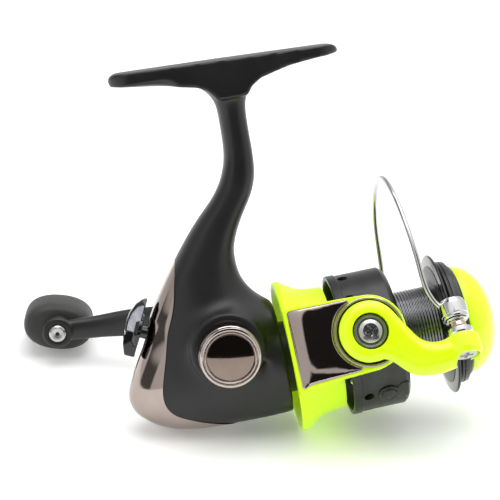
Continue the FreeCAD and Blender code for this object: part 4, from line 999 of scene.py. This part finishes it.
def rotor_shell():
    outline = [(14.9, -11.6), (17.8, -10.5), (27.8, -9.8)]
    outline += arc(PIVOT_X, 9.4, [-math.pi / 2 + math.pi * k / 24 for k in range(25)])
    outline += [(24.0, 9.8), (14.9, 10.0)]
    solids = [lathe(ROTOR_CUP, segments=144, closed=True)]
    for turned in (False, True):
        arm = prism(outline, -23.3, -12.0)
        lean_zone = [(10, -10), (60, -10)] + [(x, -y) for x, y in reversed(LEAN)]
        boolean(arm, prism(lean_zone, -30, 30, "XY"), "INTERSECT")
        drill(arm, SPOOL_ROOM, 27.2, 70, segments=144)
        boolean(arm, lathe([(10, 0), (10, 18.3), (15, 18.3), (19.0, 16.2), (21.6, 14.6),
                            (28, 14.6), (28, 0)], segments=144))
        if turned:
            arm.data.transform(turn(180, "X"))
        solids.append(arm)
    rotor = join(solids)
    rotor.data.transform(AT_ROTOR)
    remesh(rotor, 0.30, 5)
    for pivot in (AT_NEAR, AT_FAR):
        boolean(rotor, lathe([(21.0, 2.2), (21.0, 6.2), (26.0, 6.2), (26.0, 2.2)],
                             pivot, 96, closed=True))
        drill(rotor, 0.95, 17.0, 26.0, pivot, 32)
    drill(rotor, 18.9, 27.4, 60, AT_ROTOR, 160)
    finish(rotor, "rotor_shell", "rotor_unit", "neon_plastic", NEON,
           replaces="rotor", sharp=45)


def lean_at(x):
    xs, ys = [p[0] for p in LEAN], [p[1] for p in LEAN]
    return float(np.mean([np.interp(x + d, xs, ys) for d in np.linspace(-1.5, 1.5, 7)]))


def under_bail(y):
    """Level off below 24.4, where the opened bail arm passes over the plate."""
    return y - 0.15 * math.log1p(math.exp((y - 24.05) / 0.15))


def arm_crown(V):
    return (0.42 * np.maximum(0, 1 - ((V[:, 0] - 24.0) / 9.0) ** 2)
            + 0.60 * np.maximum(0, 1 - (V[:, 1] / 10.0) ** 2))


def arm_plates():
    """Raised plates on the rotor arms, each with a ring round its pivot and, inside the ring, a
    thin dark sheet of painted shade.
    """
    corners = [(15.75, -10.85, 0.9), (17.9, -9.85, 2.0), (27.8, -9.2, 4.0), (31.0, -9.0, 0.5)]
    corners += arc(PIVOT_X, 8.95, np.radians(np.linspace(-113, -247, 40)))
    corners += [(31.0, 9.05, 0.5), (24.0, 9.15, 4.0), (15.75, 9.3, 0.9)]
    outline = rounded(corners, True, 6)
    for side, pivot, at in (("near", AT_NEAR, AT_ROTOR),
                            ("far", AT_FAR, AT_ROTOR @ turn(180, "X"))):
        panel = slab(outline, 0.75, 3.7, lambda a, b, h: (a, -under_bail(lean_at(a) + h), b),
                     base=0.15, crown=arm_crown)
        soften(panel, lambda co: ramp01(distance_to(outline, co[:, [0, 2]]), 0.05, 1.4), 45)
        panel.data.transform(at)
        ring = lathe([(22.9, 8.12), (24.15, 8.12, 0.18), (24.28, 8.42, 0.25),
                      (24.1, 8.78, 0.2), (22.9, 8.8)], pivot, 144, closed=True)
        # a thin dark ring in the gap between the ring and the bail boss: painted shade
        well = lathe([(23.25, 6.3), (23.36, 6.3), (23.36, 8.13), (23.25, 8.13)],
                     pivot, 96, closed=True)
        finish(join([panel, ring]), "arm_plate_" + side, "rotor_unit", "bronze_chrome",
               BRONZE, replaces="arm_cover_" + side, sharp=50)
        finish(well, "pivot_painted_shade_" + side, "rotor_unit", "black_plastic", PAINTED_SHADE, sharp=40)


# ------------------------------------------------------------------ bail arm, holder, screws
# the bail arm's two edges in the rotor frame: x, z
BAIL_LOWER = [(33.5, -7.55), (36.9, -7.45), (42.5, -12.2), (47.0, -13.7), (51.0, -13.7),
              (55.0, -13.0), (58.6, -12.2), (60.6, -10.6)]
BAIL_UPPER = [(60.9, -8.6), (59.8, -6.0), (57.2, -5.4), (52.0, -5.8), (49.3, -5.7),
              (47.0, -4.6), (44.6, -1.6), (42.6, 1.6), (40.3, 5.2), (38.6, 6.7)]
PIVOT_BORE = 2.06
# pivot screw seats: frame, distance from the shaft, washer radius
SCREW_SEATS = [(AT_NEAR, 25.3, 4.15), (AT_FAR, 24.9, 3.7)]


def bail_arm():
    pivot = move(PIVOT_X, 0, 0) @ turn(-90, "Z")
    roller = move(*ROLLER_BASE) @ aim(ROLLER_AXIS)
    outline = flat_spline(BAIL_LOWER, 60) + flat_spline(BAIL_UPPER, 60)
    outline += arc(PIVOT_X, 7.7, np.radians(np.linspace(61.5, 259.0, 70)))
    bail = join([
        slab(outline, 2.35, 3.3, lambda a, b, h: (a, -(24.65 + h), b), base=0.7, step=0.4,
             crown=lambda V: 1.9 * ramp01(V[:, 0], 39.0, 53.0)),
        lathe([(23.45, 0), (23.45, 7.55, 0.2), (25.3, 7.6), (25.3, 0)], pivot),
        lathe([(-0.1, 0), (-0.1, 4.3, 0.6), (5.4, 4.35, 0.5), (5.4, 0)], roller, 96)])
    remesh(bail, 0.25, 7)
    soften(bail, lambda co: ramp01(co[:, 0], 44.0, 47.0) * ramp01(-co[:, 1], 24.6, 25.6), 40)
    boolean(bail, lathe([(15.0, 7.85), (15.0, 26.0), (24.42, 26.0), (24.42, 7.85)],
                        pivot, closed=True))
    drill(bail, 4.55, 25.3, 33, pivot, 96)
    drill(bail, PIVOT_BORE, 15, 33, pivot)
    drill(bail, 3.4, -6.0, 1.6, roller)
    drill(bail, 1.02, -2.0, 12.0, roller, 32)
    drill(bail, 5.6, 5.2, 25.0, roller)
    drill(bail, SPOOL_ROOM, 20, 80, segments=160)
    bail.data.transform(AT_ROTOR)
    finish(bail, "bail_arm_bar", "bail", "neon_plastic", NEON_ARM,
           replaces="bail_arm", sharp=50)
    # a thin dark disc at the floor of the pivot recess: painted shade
    recess_painted_shade = lathe([(25.32, 2.08), (25.40, 2.08), (25.40, 4.54), (25.32, 4.54)],
                         AT_NEAR, 96, closed=True)
    finish(recess_painted_shade, "pivot_recess_floor", "bail", "black_plastic", PAINTED_SHADE, sharp=40)


def bail_holder():
    boss = lathe([(23.45, 0), (23.45, 6.9, 0.2), (26.4, 7.0, 0.8), (26.4, 0)], AT_FAR, 96)
    ear = prism([(36.5, 6.7), (41.2, 7.6), (44.0, 5.4), (43.6, 2.2), (40.6, 1.2)], 24.4, 26.7)
    ear.data.transform(AT_ROTOR)
    holder = join([boss, ear])
    remesh(holder, 0.24, 5)
    boolean(holder, lathe([(15.0, 7.2), (15.0, 20.0), (24.36, 20.0), (24.36, 7.2)],
                          AT_FAR, 96, closed=True))
    drill(holder, 4.0, 24.9, 33, AT_FAR)
    drill(holder, PIVOT_BORE, 15, 33, AT_FAR)
    finish(holder, "bail_holder_far", "bail", "neon_plastic", NEON_ARM,
           replaces="bail_holder", sharp=50)


def pivot_screws():
    screws, washers = [], []
    for at, seat, rim in SCREW_SEATS:
        screw = lathe([(20.0, 0), (20.0, 0.9), (23.3, 0.9), (23.3, 1.98), (seat + 0.12, 1.98),
                       (seat + 0.5, 1.98), (seat + 0.5, 3.0, 0.12), (seat + 0.95, 2.95, 0.35),
                       (seat + 1.3, 1.9, 0.5), (seat + 1.36, 0)], at, 80)
        boolean(screw, cross_cutter(at, start=seat + 1.6, end=seat + 0.35,
                                    reach=1.85, width=0.46))
        screws.append(screw)
        washers.append(lathe([(seat + 0.1, 2.0), (seat + 0.1, rim, 0.05),
                              (seat + 0.42, rim, 0.12), (seat + 0.52, rim - 0.35, 0.05),
                              (seat + 0.42, rim - 0.55, 0.05), (seat + 0.5, rim - 0.75, 0.05),
                              (seat + 0.5, 2.0)], at, 96, closed=True))
    finish(join(screws), "pivot_screws", "rotor_unit", "steel", SCREW,
           replaces="bail_pivot_screws", sharp=28)
    finish(join(washers), "pivot_washers", "rotor_unit", "steel", WASHER, sharp=28)


# ------------------------------------------------------------------ bail wire, cup, roller
# the wire's path in the rotor frame: x, y, z
WIRE_PATH = [(56.2, -23.0, 0.8), (54.9, -22.85, 1.5), (53.5, -22.6, 2.6), (52.2, -22.4, 4.6),
             (51.2, -22.2, 8.2), (50.9, -21.8, 14.0), (50.6, -20.8, 21.0),
             (50.2, -18.2, 28.5), (49.8, -12.6, 36.0), (49.6, -5.5, 40.2), (49.4, 0.0, 41.2),
             (49.2, 5.5, 40.5), (48.7, 12.6, 36.8), (48.2, 18.2, 29.5), (47.9, 21.2, 21.5),
             (47.0, 22.7, 14.0), (45.0, 24.5, 8.0), (42.8, 25.5, 5.2)]
WIRE_STEPS = 260
# the wire tapers from its start: part of the path, radius
WIRE_TAPER = [(0, 1.1), (0.012, 0.95), (0.03, 0.74), (0.05, 0.65), (1, 0.65)]
CONE_BASE = (56.6, -23.0, 0.4)


def bail_wire():
    radii = np.interp(np.linspace(0, 1, WIRE_STEPS), *zip(*WIRE_TAPER))
    wire = rod(spline(WIRE_PATH, WIRE_STEPS), radii, AT_ROTOR, 24)
    finish(wire, "bail_wire_rod", "bail", "chrome_parts", WIRE,
           replaces="bail_wire", sharp=50)


def bail_cup():
    """The cup round the roller's end, and the cone the wire leaves from."""
    cup = lathe([(9.8, 1.0), (9.8, 3.25, 0.12), (10.3, 3.4, 0.1), (10.45, 3.2, 0.05),
                 (10.75, 3.2, 0.05), (10.9, 3.45, 0.1), (13.6, 3.5, 0.35), (14.9, 2.9, 0.5),
                 (15.45, 1.9, 0.2), (15.2, 1.5, 0.1), (15.2, 1.0)],
                AT_ROLLER, 96, closed=True)
    direction = Vector(WIRE_PATH[2]) - Vector(CONE_BASE)
    cone = lathe([(-0.4, 0), (-0.4, 1.8), (0.5, 1.75, 0.3), (2.6, 1.0, 0.4),
                  (3.3, 0.82, 0.1), (3.35, 0)],
                 AT_ROTOR @ move(*CONE_BASE) @ aim(direction), 48)
    finish(join([cup, cone]), "bail_cup", "bail", "chrome_parts", CHROME,
           replaces="bail_cone", sharp=30)


def roller_screw():
    screw = lathe([(0.15, 0), (0.15, 2.7, 0.2), (0.5, 3.2, 0.3), (1.55, 3.2, 0.05),
                   (1.55, 0.98), (14.6, 0.98), (14.9, 1.35), (15.6, 1.35, 0.2), (15.7, 0)],
                  AT_ROLLER, 64)
    boolean(screw, cross_cutter(AT_ROLLER @ turn(180, "Z"), start=0.2, end=-1.1,
                                reach=2.0, width=0.5))
    finish(screw, "roller_axle_screw", "bail", "steel", SCREW,
           replaces="roller_screw", sharp=28)


def line_roller():
    """The roller, with its groove in a second material."""
    roller = lathe([(5.3, 1.56), (5.3, 3.0, 0.2), (5.9, 3.3, 0.15), (7.0, 3.3, 0.3),
                    (7.7, 2.2, 0.3), (8.9, 2.0, 0.3), (9.25, 2.7, 0.15), (9.65, 2.85, 0.1),
                    (9.65, 1.56)], AT_ROLLER, 96, closed=True, step=0.25)
    finish(roller, "line_roller_drum", "roller", "chrome_parts", CHROME, GOLD,
           replaces="line_roller", sharp=30)
    to_local = AT_ROLLER.inverted()
    for p in roller.data.polygons:
        if 7.2 < (to_local @ ((p.center - ORIGIN) * 1000)).x < 9.1:
            p.material_index = 1


# ------------------------------------------------------------------ spool
# the frame's wall: x, radius, corner radius
SPOOL_FRAME = [(29.0, 17.4), (29.0, 18.3, 0.12), (29.25, 18.41, 0.1), (31.2, 18.41, 0.12),
               (31.4, 18.1, 0.08), (42.7, 18.1, 0.25), (43.55, 17.45, 0.12),
               (44.1, 16.6, 0.25), (44.1, 12.0, 0.5), (44.75, 10.3, 0.2), (44.75, 9.9),
               (54.9, 9.9), (55.1, 10.9, 0.4), (55.7, 12.2, 0.4), (56.05, 15.6),
               (56.12, 15.5), (56.12, 12.4), (56.4, 12.4), (56.4, 9.2), (46.2, 9.2),
               (46.2, 2.78), (41.42, 2.78), (41.42, 5.0), (42.4, 6.4), (42.6, 16.4),
               (41.6, 17.2), (29.4, 17.2)]
SKIRT_RADIUS = 18.1
SKIRT_HOLES = 12
ARBOR_START = 44.75
GROOVE_PITCH, GROOVE_DEPTH = 0.78, 0.16
CLIP_ANGLE = math.radians(-38)


def spool_frame():
    spool = lathe(SPOOL_FRAME, segments=192, closed=True)
    holes = []
    for k in range(SKIRT_HOLES):
        angle = math.radians(360 // SKIRT_HOLES * k + 8)
        at = move(32.9, 0, 0) @ aim((0, math.cos(angle), math.sin(angle)))
        holes.append(cylinder(1.3, 14.5, 20, at, 32))
    boolean(spool, join(holes))
    finish(spool, "spool_frame", "spool", "spool_dark", SPOOL,
           replaces="spool_body", sharp=30)


def grooves(x, r, angle):
    if r > 10.3 and x < 54.6:
        wave = math.cos(2 * math.pi * (x - ARBOR_START) / GROOVE_PITCH)
        return r - GROOVE_DEPTH * (0.5 - 0.5 * wave)
    return r


def spool_arbor():
    arbor = lathe([(44.7, 9.95), (ARBOR_START, 10.62), (54.9, 10.62), (54.95, 9.95)],
                  segments=160, closed=True, relief=grooves, step=0.11)
    finish(arbor, "spool_arbor", "spool", "spool_dark", ARBOR, sharp=60)


def spool_flange():
    flange = lathe([(56.15, 12.46), (56.15, 15.6, 0.3), (56.32, 18.2, 0.15),
                    (56.6, 18.5, 0.2), (57.0, 18.3, 0.2), (57.2, 16.4, 0.3), (57.2, 12.46)],
                   segments=192, closed=True)
    finish(flange, "spool_flange", "spool", "spool_dark", SPOOL_GLOSS,
           replaces="spool_lip", sharp=35)


def line_clip():
    """A round button with a leaf lying on the skirt in line with it."""
    c, s = math.cos(CLIP_ANGLE), math.sin(CLIP_ANGLE)
    button = lathe([(17.7, 0), (17.7, 2.75), (18.35, 2.75, 0.1), (18.55, 2.5, 0.15),
                    (18.3, 2.1, 0.1), (18.3, 1.9, 0.05), (18.75, 1.7, 0.25), (18.85, 0)],
                   move(38.0, 0, 0) @ aim((0, -c, s)), 64)
    middle = math.atan2(s, -c)

    def on_skirt(a, b, h):
        angle = middle - b / SKIRT_RADIUS
        radius = SKIRT_RADIUS + h
        return (a + 0.4, radius * math.cos(angle), radius * math.sin(angle))

    outline = rounded([(38.6, -1.2, 0.2), (39.9, 1.9, 1.6), (41.0, 3.0, 1.0),
                       (43.0, 3.3, 0.5), (43.0, -2.6, 0.5), (40.6, -2.9, 1.0)], True)
    leaf = slab(outline, 0.42, 0.5, on_skirt, step=0.3)
    finish(join([button, leaf]), "line_clip_button", "spool", "black_plastic", DRAG,
           replaces="line_clip", sharp=30)


# ------------------------------------------------------------------ drag knob
DOME_X, DOME_TIP = 61.6, 70.4
DOME_RADIUS, DOME_INNER_RADIUS = 14.1, 12.7
DOME_POWER = 0.92
DOME_WALL = 1.4
GROOVE_RADIUS = 12.35


def drag_knob_ring():
    ring = lathe([(57.6, 2.0), (62.8, 2.0), (62.8, 13.0), (61.6, 13.0), (61.6, 14.3, 0.1),
                  (61.0, 14.9, 0.3), (60.35, 15.0, 0.1), (60.3, 15.5, 0.1),
                  (60.2, 16.0, 0.25), (58.9, 16.25, 0.2), (58.75, 16.0, 0.08),
                  (58.55, 16.0, 0.08), (58.4, 16.28, 0.12), (58.0, 16.3, 0.25),
                  (57.6, 15.9, 0.2), (57.6, 12.0), (59.0, 11.0), (59.0, 5.0), (57.6, 4.6)],
                 segments=192, closed=True)
    finish(ring, "drag_knob_ring", "drag_knob", "black_plastic", DRAG,
           replaces="drag_knob_base", sharp=30)


def drag_knob_dome():
    """A hollow dome with a fine groove near its edge."""
    profile = [(DOME_X + 0.05, 13.05), (DOME_X + 0.05, DOME_RADIUS, 0.12),
               (DOME_X + 0.75, 14.12, 0.2)]
    for k in range(5, 60):
        a = math.radians(90 * k / 60.0)
        r = DOME_RADIUS * math.cos(a) ** DOME_POWER
        x = DOME_X + 0.05 + (DOME_TIP - DOME_X - 0.05) * math.sin(a)
        groove = 0.14 * math.exp(-((r - GROOVE_RADIUS) / 0.16) ** 2)
        profile.append((x - groove * math.sin(a) * 0.8, r - groove * 0.6))
    profile += [(DOME_TIP, 0), (DOME_TIP - DOME_WALL, 0)]
    for k in range(11, 0, -1):
        a = math.radians(90 * k / 12.0)
        profile.append((DOME_X + 1.3 + (DOME_TIP - DOME_WALL - DOME_X - 1.3) * math.sin(a),
                        DOME_INNER_RADIUS * math.cos(a) ** DOME_POWER))
    profile.append((DOME_X + 1.25, 13.05))
    dome = lathe(profile, segments=192, closed=True)
    finish(dome, "drag_knob_dome", "drag_knob", "neon_plastic", NEON_ARM,
           replaces="drag_knob_cap", sharp=40)


# ------------------------------------------------------------------ anti-reverse lever
# the fin's outer edge in the lever frame: x, z
FIN_EDGE = [(1.3, 9.0), (2.6, 8.3), (3.9, 6.8), (4.8, 4.4), (5.1, 1.8), (4.9, -0.7)]


def lever_fin():
    points = [(x, y, z) for x, z in FIN_EDGE for y in (-0.9, 0.9)]
    points += [(1.5, y, z) for z in (-0.7, 7.2) for y in (-2.8, 2.8)]
    points += [(1.35, y, 8.6) for y in (-1.2, 1.2)]
    bm = bmesh.new()
    for p in points:
        bm.verts.new(p)
    bmesh.ops.convex_hull(bm, input=bm.verts)
    mesh = bpy.data.meshes.new("part")
    bm.to_mesh(mesh)
    bm.free()
    mesh.transform(AT_LEVER)
    fin = link(mesh)
    remesh(fin, 0.16, 6)
    return fin


def on_fin_side(a, b, h):
    edge_x, edge_z = zip(*reversed(FIN_EDGE[1:]))
    edge = np.interp(-b, edge_z, edge_x)
    return (a, 2.8 - 1.9 * (a - 1.5) / (edge - 1.5) + h, -b)


def stopper_lever():
    pivot = lathe([(-5.0, 0), (-5.0, 1.6), (0.95, 1.6), (0.95, 4.6, 0.3), (2.0, 4.6, 0.5),
                   (2.8, 3.9, 0.5), (2.9, 0)], AT_LEVER, 64)
    fin = lever_fin()
    # a thin pale sheet over the fin's near side: painted reflection of the tent on the glossy black
    # plastic
    side = rounded([(1.75, -0.1, 0.3), (4.5, -0.1, 0.3), (4.6, 2.2, 1.5), (4.2, 4.6, 1.5),
                    (3.2, 6.6, 0.8), (1.75, 7.6, 0.3)], True)
    face = slab([(a, -b) for a, b in side][::-1], 0.60, 0.35, on_fin_side, base=0.35, step=0.3)
    face.data.transform(AT_LEVER)
    finish(face, "stopper_painted_reflection", "lever", "black_plastic", FIN_PAINTED_REFLECTION, sharp=40)
    block = prism(rounded([(0.95, -0.55, 0.3), (4.9, -0.9, 0.5), (4.5, -4.0, 2.0),
                           (3.6, -6.3, 0.6), (0.95, -6.3, 0.3)], True),
                  -2.9, 2.9, at=AT_LEVER)
    bevel(block, width=0.45, segments=4, angle=60)
    finish(join([pivot, fin, block]), "stopper_lever", "lever", "black_plastic", GLOSS,
           replaces="anti_reverse_lever", sharp=38)


# ------------------------------------------------------------------ CAD pieces kept as they are
# every piece not named here is steel
CAD_MATERIALS = {
    "drive_gear": ZINC, "oscillation_pinion": ZINC, "oscillation_gear": ZINC,
    "crosswind_block": ZINC, "drag_pressure_plate": ZINC, "spool_support": BRASS,
    "drag_nut": BRASS, "pinion_gear": BRASS, "spool_shims": GLOSS, "roller_bushing": GLOSS,
    "drag_felts": FELT}


def shade_cad_pieces():
    for name, ob in frame["nodes"].items():
        shade(ob, [CAD_MATERIALS.get(name, STEEL)], 28)


# ------------------------------------------------------------------ camera
# the camera's place and turn from ORIGIN, in metres
CAMERA_MATRIX = Matrix(((0.9772, 0.2033, -0.0609, -0.01249),
                        (-0.0967, 0.1714, -0.9804, -0.37938),
                        (-0.1889, 0.9640, 0.1871, 0.10216),
                        (0, 0, 0, 1)))


def add_camera():
    data = bpy.data.cameras.new("camera")
    camera = bpy.data.objects.new("camera", data)
    COLLECTION.objects.link(camera)
    camera.matrix_world = Matrix.Translation(ORIGIN) @ CAMERA_MATRIX
    data.sensor_width = 36.0
    data.lens = 108.0
    data.clip_start = 0.01
    data.clip_end = 10.0
    bpy.context.scene.camera = camera
    return camera


# ------------------------------------------------------------------ floor (metres)
FLOOR_TILT = np.array([0.205, -0.175, 0.963])   # roughly the floor's normal
FLOOR_TILT /= np.linalg.norm(FLOOR_TILT)
FLOOR_SIZE = 3.0
FLOOR_GAP = 5e-5


def find_floor():
    """Normal and point of the plane the reel rests on: the hull face nearest the tilt."""
    cloud = []
    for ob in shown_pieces():
        co = np.zeros(len(ob.data.vertices) * 3, np.float32)
        ob.data.vertices.foreach_get("co", co)
        cloud.append(co.reshape(-1, 3))
    cloud = np.concatenate(cloud).astype(float)
    low = cloud[(cloud @ FLOOR_TILT) < (cloud @ FLOOR_TILT).min() + 0.012]
    bm = bmesh.new()
    for p in low[::max(1, len(low) // 40000)]:
        bm.verts.new(p)
    bm.verts.ensure_lookup_table()
    bmesh.ops.convex_hull(bm, input=bm.verts)
    best, normal, point = -1, None, None
    for f in bm.faces:
        if f.calc_area() < 1e-6:
            continue
        down = f.normal if f.normal.dot(Vector(FLOOR_TILT)) < 0 else -f.normal
        fit = -down.dot(Vector(FLOOR_TILT))
        heights = (low - np.array(f.verts[0].co)) @ np.array(-down)
        if fit > best and heights.min() > -2e-4:
            best, normal, point = fit, -down.copy(), f.verts[0].co.copy()
    bm.free()
    if normal is None:
        normal, point = Vector(FLOOR_TILT), Vector(low[np.argmin(low @ FLOOR_TILT)])
    lowest = float(((cloud - np.array(point)) @ np.array(normal)).min())
    return normal, point + normal * (lowest - FLOOR_GAP)


def floor_paper():
    m = bpy.data.materials.new("floor_paper")
    m.use_nodes = True
    tree = m.node_tree
    surface = tree.nodes["Principled BSDF"]
    coords = node(tree, "ShaderNodeTexCoord")
    noise = node(tree, "ShaderNodeTexNoise", Scale=60.0, Detail=3.0)
    tree.links.new(coords.outputs["Object"], noise.inputs["Vector"])
    tones = color_ramp(tree, (0.0, (0.90, 0.91, 0.90)), (1.0, (0.93, 0.935, 0.93)))
    tree.links.new(noise.outputs["Fac"], tones.inputs["Fac"])
    tree.links.new(tones.outputs["Color"], surface.inputs["Base Color"])
    surface.inputs["Roughness"].default_value = 0.55
    surface.inputs["Emission Color"].default_value = (1.0, 1.0, 0.99, 1)
    surface.inputs["Emission Strength"].default_value = 0.18
    surface.inputs["Specular IOR Level"].default_value = 0.15
    return m


def add_floor(point):
    """A sheet that reaches far away from the camera and only a little towards it."""
    mesh = bpy.data.meshes.new("floor")
    centre = Vector((0.005, 0.0, 0.0)) + ORIGIN
    centre = centre - UP * (centre - point).dot(UP)
    corners = ((-1, -1), (1, -1), (1, 0.1), (-1, 0.1))
    mesh.from_pydata([centre + SIDE * a * FLOOR_SIZE + FORWARD * b * FLOOR_SIZE
                      for a, b in corners], [], [(0, 1, 2, 3)])
    floor = bpy.data.objects.new("floor", mesh)
    COLLECTION.objects.link(floor)
    mesh.materials.append(floor_paper())


# ------------------------------------------------------------------ light tent
def add_world():
    """White all round, with a dark opening behind the camera; plain white to the camera."""
    world = bpy.data.worlds.new("tent")
    bpy.context.scene.world = world
    world.use_nodes = True
    tree = world.node_tree
    tree.nodes.clear()
    output = node(tree, "ShaderNodeOutputWorld")
    white = node(tree, "ShaderNodeBackground", Color=(1, 1, 1, 1), Strength=1.05)
    tent = node(tree, "ShaderNodeBackground", Strength=1.0)
    mix = node(tree, "ShaderNodeMixShader")
    light_path = node(tree, "ShaderNodeLightPath")
    tree.links.new(light_path.outputs["Is Camera Ray"], mix.inputs[0])
    tree.links.new(tent.outputs[0], mix.inputs[1])
    tree.links.new(white.outputs[0], mix.inputs[2])
    tree.links.new(mix.outputs[0], output.inputs["Surface"])
    coords = node(tree, "ShaderNodeTexCoord")

    def along(direction):
        n = node(tree, "ShaderNodeVectorMath", operation="DOT_PRODUCT")
        n.inputs[1].default_value = tuple(direction)
        tree.links.new(coords.outputs["Generated"], n.inputs[0])
        return n.outputs["Value"]

    def calc(operation, *values):
        n = node(tree, "ShaderNodeMath", operation=operation)
        for i, value in enumerate(values):
            if isinstance(value, (int, float)):
                n.inputs[i].default_value = value
            else:
                tree.links.new(value, n.inputs[i])
        return n.outputs[0]

    def fade(value, start, end):
        """Rise from 0 at one angle to 1 at the other (degrees)."""
        n = node(tree, "ShaderNodeMapRange", interpolation_type="SMOOTHSTEP", **{
            "From Min": math.radians(start), "From Max": math.radians(end)})
        tree.links.new(value, n.inputs["Value"])
        return n.outputs[0]

    def window(value, low, high):
        """Between two fades, each given as (start, end)."""
        return calc("MULTIPLY", fade(value, *low), fade(value, *high))

    # azimuth runs from the camera's direction towards SIDE (about +X)
    forward, up, side = along(FORWARD), along(UP), along(SIDE)
    azimuth = calc("ARCTAN2", side, forward)
    elevation = calc("ARCSINE", up)
    opening = calc("MULTIPLY", window(azimuth, (-24, -17), (46, 40)),
                   window(elevation, (-60, -50), (58, 50)))
    # a bright band crosses the opening
    band = window(elevation, (15, 18), (25, 22))
    opening = calc("MULTIPLY", opening, calc("MULTIPLY_ADD", band, -1.0, 1.0))
    bright = calc("MULTIPLY_ADD", fade(elevation, 20, 80), 0.55, 0.85)
    # on the -X side: a grey flag high up, and a small dark gap lower down
    flag = calc("MULTIPLY", fade(azimuth, -56, -68), fade(elevation, 2, 30))
    gap = calc("MULTIPLY", window(azimuth, (-58, -62), (-97, -93)),
               window(elevation, (-24, -20), (14, 8)))
    bright = calc("MULTIPLY", bright, calc("MULTIPLY_ADD", flag, -0.5, 1.0))
    bright = calc("MULTIPLY", bright, calc("MULTIPLY_ADD", gap, -0.85, 1.0))
    level = calc("MULTIPLY", bright, calc("MULTIPLY_ADD", opening, -0.975, 1.0))
    grey = node(tree, "ShaderNodeCombineColor")
    for i in range(3):
        tree.links.new(level, grey.inputs[i])
    tree.links.new(grey.outputs[0], tent.inputs["Color"])


LIGHT_TARGET = (0.012, 0, 0.02)         # metres from ORIGIN
LIGHT_ROLL = Vector((0.13, 0.7, 0.7))   # settles each lamp's turn about its own axis


def soft_light(name, *, size, power, offset, glossy=True):
    """A square lamp at an offset (along SIDE, FORWARD, UP) from its target, in metres."""
    data = bpy.data.lights.new(name, "AREA")
    data.shape = "RECTANGLE"
    data.size = data.size_y = size
    data.energy = power
    lamp = bpy.data.objects.new(name, data)
    COLLECTION.objects.link(lamp)
    target = Vector(LIGHT_TARGET) + ORIGIN
    place = SIDE * offset[0] + FORWARD * offset[1] + UP * offset[2] + target
    z = (place - target).normalized()
    x = z.cross(LIGHT_ROLL).normalized()
    y = z.cross(x)
    lamp.matrix_world = Matrix(((x.x, y.x, z.x, place.x), (x.y, y.y, z.y, place.y),
                                (x.z, y.z, z.z, place.z), (0, 0, 0, 1)))
    lamp.visible_camera = False
    lamp.visible_glossy = glossy


# ------------------------------------------------------------------ build
for build in (body_and_side_plate, rear_shell, side_plate_screws, screw_cap,
              crank_hub, crank_arm, knob_rivet, crank_knob,
              rotor_shell, arm_plates, bail_arm, bail_holder, pivot_screws,
              bail_wire, bail_cup, roller_screw, line_roller,
              spool_frame, spool_arbor, spool_flange, line_clip,
              drag_knob_ring, drag_knob_dome, stopper_lever, shade_cad_pieces):
    build()

camera = add_camera()
floor_normal, floor_point = find_floor()
UP = floor_normal.normalized()
to_camera = Vector(camera.matrix_world.to_3x3().col[2])
FORWARD = (to_camera - UP * to_camera.dot(UP)).normalized()     # over the floor, to the camera
SIDE = UP.cross(FORWARD).normalized()                           # about +X
add_floor(floor_point)
add_world()
soft_light("overhead", size=0.7, power=3.2, offset=(0.0, -0.05, 0.75))
soft_light("left", size=0.45, power=1.2, offset=(0.62, 0.10, 0.30), glossy=False)
soft_light("right", size=0.45, power=1.2, offset=(-0.62, 0.15, 0.30), glossy=False)

bpy.context.scene.view_settings.view_transform = "Standard"
bpy.context.scene.view_settings.look = "None"
